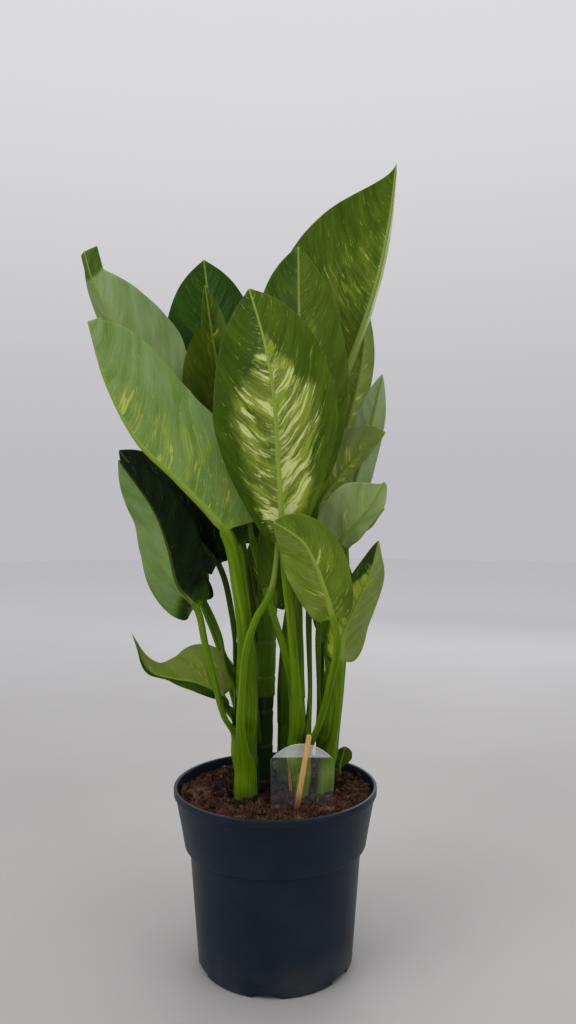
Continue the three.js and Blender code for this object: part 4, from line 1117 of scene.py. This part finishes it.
def makeSoil(material, crumbMaterial, fibreMaterial):
    sides = soil["sides"]
    angle = np.arange(sides) * math.tau / sides
    radii = np.concatenate([[0.5], np.linspace(2.2, 113.6, 66)])[:, None]
    x, y = radii * np.cos(angle), radii * np.sin(angle)
    top = np.stack([x, y, soilHeight(x, y)], 2)[::-1]
    points = np.concatenate([turned(soil["inPot"], sides), top])
    tint = 0.5 + 0.3 * lumps(points, 16, 5)
    # Darker soil near each cane's foot is painted shade.
    for cane in canes.values():
        apart = np.hypot(points[..., 0] - cane["foot"][0], points[..., 1] - cane["foot"][1])
        tint = tint - 0.6 * np.exp(-(apart / 34) ** 2)
    makePiece("pottingSoil", points, turnedFaces(len(points), sides), material, ["soil"], 60,
              {"tint": tint.ravel()})
    draw = np.random.default_rng(soil["seed"])
    makeCrumbs(draw, crumbMaterial)
    makeClods(material)
    makeFibres(draw, fibreMaterial)
    print("soil made")


# The wooden stick and the bare tag.

stick = {"long": 132, "wide": 6, "thick": 2.2, "lean": 0.17, "foot": (17, -40, 142), "bevel": 0.35,
         "soiled": (0.13, 0.065, 0.025),
         "wood": [(0.3, (0.40, 0.23, 0.075)), (0.5, (0.56, 0.35, 0.13)), (0.7, (0.68, 0.46, 0.20))]}
tag = {"wide": 72, "shoulder": 74, "high": 92, "thick": 0.9, "lean": -0.05, "foot": (31, -30, 168),
       "bevel": 0.35, "bandFrom": 0.243, "haze": [(0.3, (0.72, 0.75, 0.74)), (0.7, (0.86, 0.88, 0.87))]}


# A flat plate from an outline in its own plane, with small bevelled edges.
def plate(outline, thick, bevel):
    count = len(outline)
    centre = outline.mean(0)
    rings = []
    half = thick / 2
    for inset, depth in ((bevel, -half), (0, bevel - half), (0, half - bevel), (bevel, half)):
        nearer = outline - unit(outline - centre) * inset
        rings.append(np.stack([nearer[:, 0], np.full(count, depth), nearer[:, 1]], 1))
    faces = facesOfRings(4, count, capped=False)
    faces.append(list(range(count)))
    faces.append([3 * count + j for j in range(count)][::-1])
    return np.array(rings), faces


def woodMaterial():
    material, tree, shader = newMaterial("plainWood")
    x, y, z = axes(tree, where(tree))
    grain = noise(tree, scaled(tree, (x, y, z), (1100.0, 900.0, 45.0)), 1, 4, 0.6)
    wood = ramp(tree, grain, stick["wood"])
    surface(tree, shader, colours(tree, span(tree, z, 0.215, 0.185), wood, stick["soiled"]),
            span(tree, grain, 0.3, 0.7, 0.55, 0.75))
    relief(tree, shader, grain, 0.0003, 0.7)
    return material


def clearMaterial():
    material, tree, shader = newMaterial("clearTagPlastic")
    place = where(tree)
    haze = noise(tree, place, 60, 4, 0.6)
    scratch = noise(tree, joined(tree, haze, 0.0, 0.0), 30, 3)
    surface(tree, shader, ramp(tree, haze, tag["haze"]),
            span(tree, scratch, 0.3, 0.7, 0.10, 0.24), 0.2)
    high, bandFrom = axes(tree, place)[2], tag["bandFrom"]
    band = span(tree, high, bandFrom, bandFrom + 0.002, 0.02, 0.36)
    clear = calc(tree, "MULTIPLY_ADD", span(tree, haze, 0.3, 0.7), 0.03, band)
    # The rim is more opaque and whiter, most along the band: a painted glint on its edges.
    edgeGlint = span(tree, high, bandFrom - 0.02, bandFrom + 0.006, 0.12, 0.65)
    feed(tree, shader.inputs["Alpha"], calc(
        tree, "MULTIPLY_ADD", attribute(tree, "onEdge"), edgeGlint, clear, clamp=True))
    relief(tree, shader, haze, 0.0002, 0.15)
    return material


def placed(points, lean, sideways, foot):
    x, y, z = np.moveaxis(points, -1, 0)
    if sideways:
        x, z = x * math.cos(lean) + z * math.sin(lean), z * math.cos(lean) - x * math.sin(lean)
    else:
        y, z = y * math.cos(lean) - z * math.sin(lean), z * math.cos(lean) + y * math.sin(lean)
    return np.stack([x, y, z], -1) + foot


def makeStickAndTag(wood, clear):
    half = stick["wide"] / 2
    crown = np.linspace(0, math.pi, 17)
    outline = np.array([(-half + 0.4, 0), (half - 0.4, 0), (half, 6)] + [
        (half * math.cos(a), stick["long"] - half + half * math.sin(a)) for a in crown] + [(-half, 6)])
    points, faces = plate(outline, stick["thick"], stick["bevel"])
    makePiece("woodenStick", placed(points, stick["lean"], True, stick["foot"]), faces, wood,
              ["label_stick"], 40)
    half, shoulder, high = tag["wide"] / 2, tag["shoulder"], tag["high"]
    arch = [((1 - t) ** 2 * half + 2 * t * (1 - t) * half * 0.55, mix(shoulder, high, 1 - (1 - t) ** 2))
            for t in np.linspace(0, 1, 20)]
    outline = [(1 - half, 0), (half - 1, 0), (half, 1)] + arch
    outline += [(-x, z) for x, z in arch[-2::-1]] + [(-half, 1)]
    points, faces = plate(np.array(outline), tag["thick"], tag["bevel"])
    onEdge = np.repeat([0.0, 1.0, 1.0, 0.0], len(outline))
    makePiece("clearTag", placed(points, -tag["lean"], False, tag["foot"]), faces, clear,
              ["label_tag"], 40, {"onEdge": onEdge})
    print("stick and tag made")


# The floor and the lights.

studio = {"nearFloor": (0.335, 0.325, 0.32), "floor": (0.355, 0.345, 0.34),
          "farFloor": (0.675, 0.67, 0.697), "lowSky": (0.45, 0.447, 0.468),
          "highSky": (0.61, 0.61, 0.62), "floorRadius": 8, "look": "Medium High Contrast",
          "lights": [("softLeft", 26, 1.6, (-1.7, -1.3, 1.9), 0.5),
                     ("softRight", 14, 1.6, (1.8, -1.2, 1.5), 0.5),
                     ("softTop", 16, 1.8, (0, 0.2, 2.4), 0.3),
                     ("softRear", 10, 1.8, (0.6, 2.2, 1.6), 0.5)]}


def floorMaterial():
    material, tree, shader = newMaterial("paleFloor")
    place = where(tree)
    far = tree.nodes.new("ShaderNodeVectorMath")
    far.operation = "LENGTH"
    tree.links.new(place, far.inputs[0])
    near = ramp(tree, noise(tree, place, 2.5, 3), [(0.3, studio["nearFloor"]), (0.7, studio["floor"])])
    distance = span(tree, far.outputs["Value"], 0.5, 4.0)
    surface(tree, shader, colours(tree, distance, near, studio["farFloor"]), 0.6)
    return material


def makeStudio():
    mesh = bpy.data.meshes.new("studioFloor")
    edge = studio["floorRadius"]
    mesh.from_pydata([(edge * math.cos(a), edge * math.sin(a), 0) for a in np.linspace(
        0, math.tau, 128, endpoint=False)], [], [list(range(128))])
    mesh.materials.append(floorMaterial())
    floor = bpy.data.objects.new("studioFloor", mesh)
    scene.collection.objects.link(floor)
    world = bpy.data.worlds.new("paleStudio")
    world.use_nodes = True
    sky = world.node_tree
    rise = axes(sky, sky.nodes.new("ShaderNodeTexCoord").outputs["Generated"])[2]
    feed(sky, sky.nodes["Background"].inputs[0], colours(
        sky, span(sky, rise, 0.0, 0.55), studio["lowSky"], studio["highSky"]))
    scene.world = world
    scene.view_settings.look = studio["look"]
    for name, power, size, spot, aim in studio["lights"]:
        data = bpy.data.lights.new(name, "AREA")
        data.energy, data.size = power, size
        light = bpy.data.objects.new(name, data)
        light.location = spot
        way = np.array((0, 0, aim)) - np.array(spot)
        tilt, turn = math.acos(-way[2] / np.linalg.norm(way)), math.atan2(way[0], -way[1]) + math.pi
        light.rotation_euler = (tilt, 0, turn)
        scene.collection.objects.link(light)
    print("studio made")


stem = stemMaterial()
makeCanes(stem)
leafGreen = leafMaterial()
for number, (name, leaf) in enumerate(leaves.items()):
    makeLeaf(name, leaf, leafGreen, number + 1)
print("leaves made")
makeSeedling(leafGreen)
makeDrySheath(dryMaterial())
makePot(potMaterial())
makeSoil(soilMaterial("peat", 0.0), soilMaterial("peatCrumbs", 0.06), soilMaterial("coirFibre", 0.55))
makeStickAndTag(woodMaterial(), clearMaterial())
makeStudio()
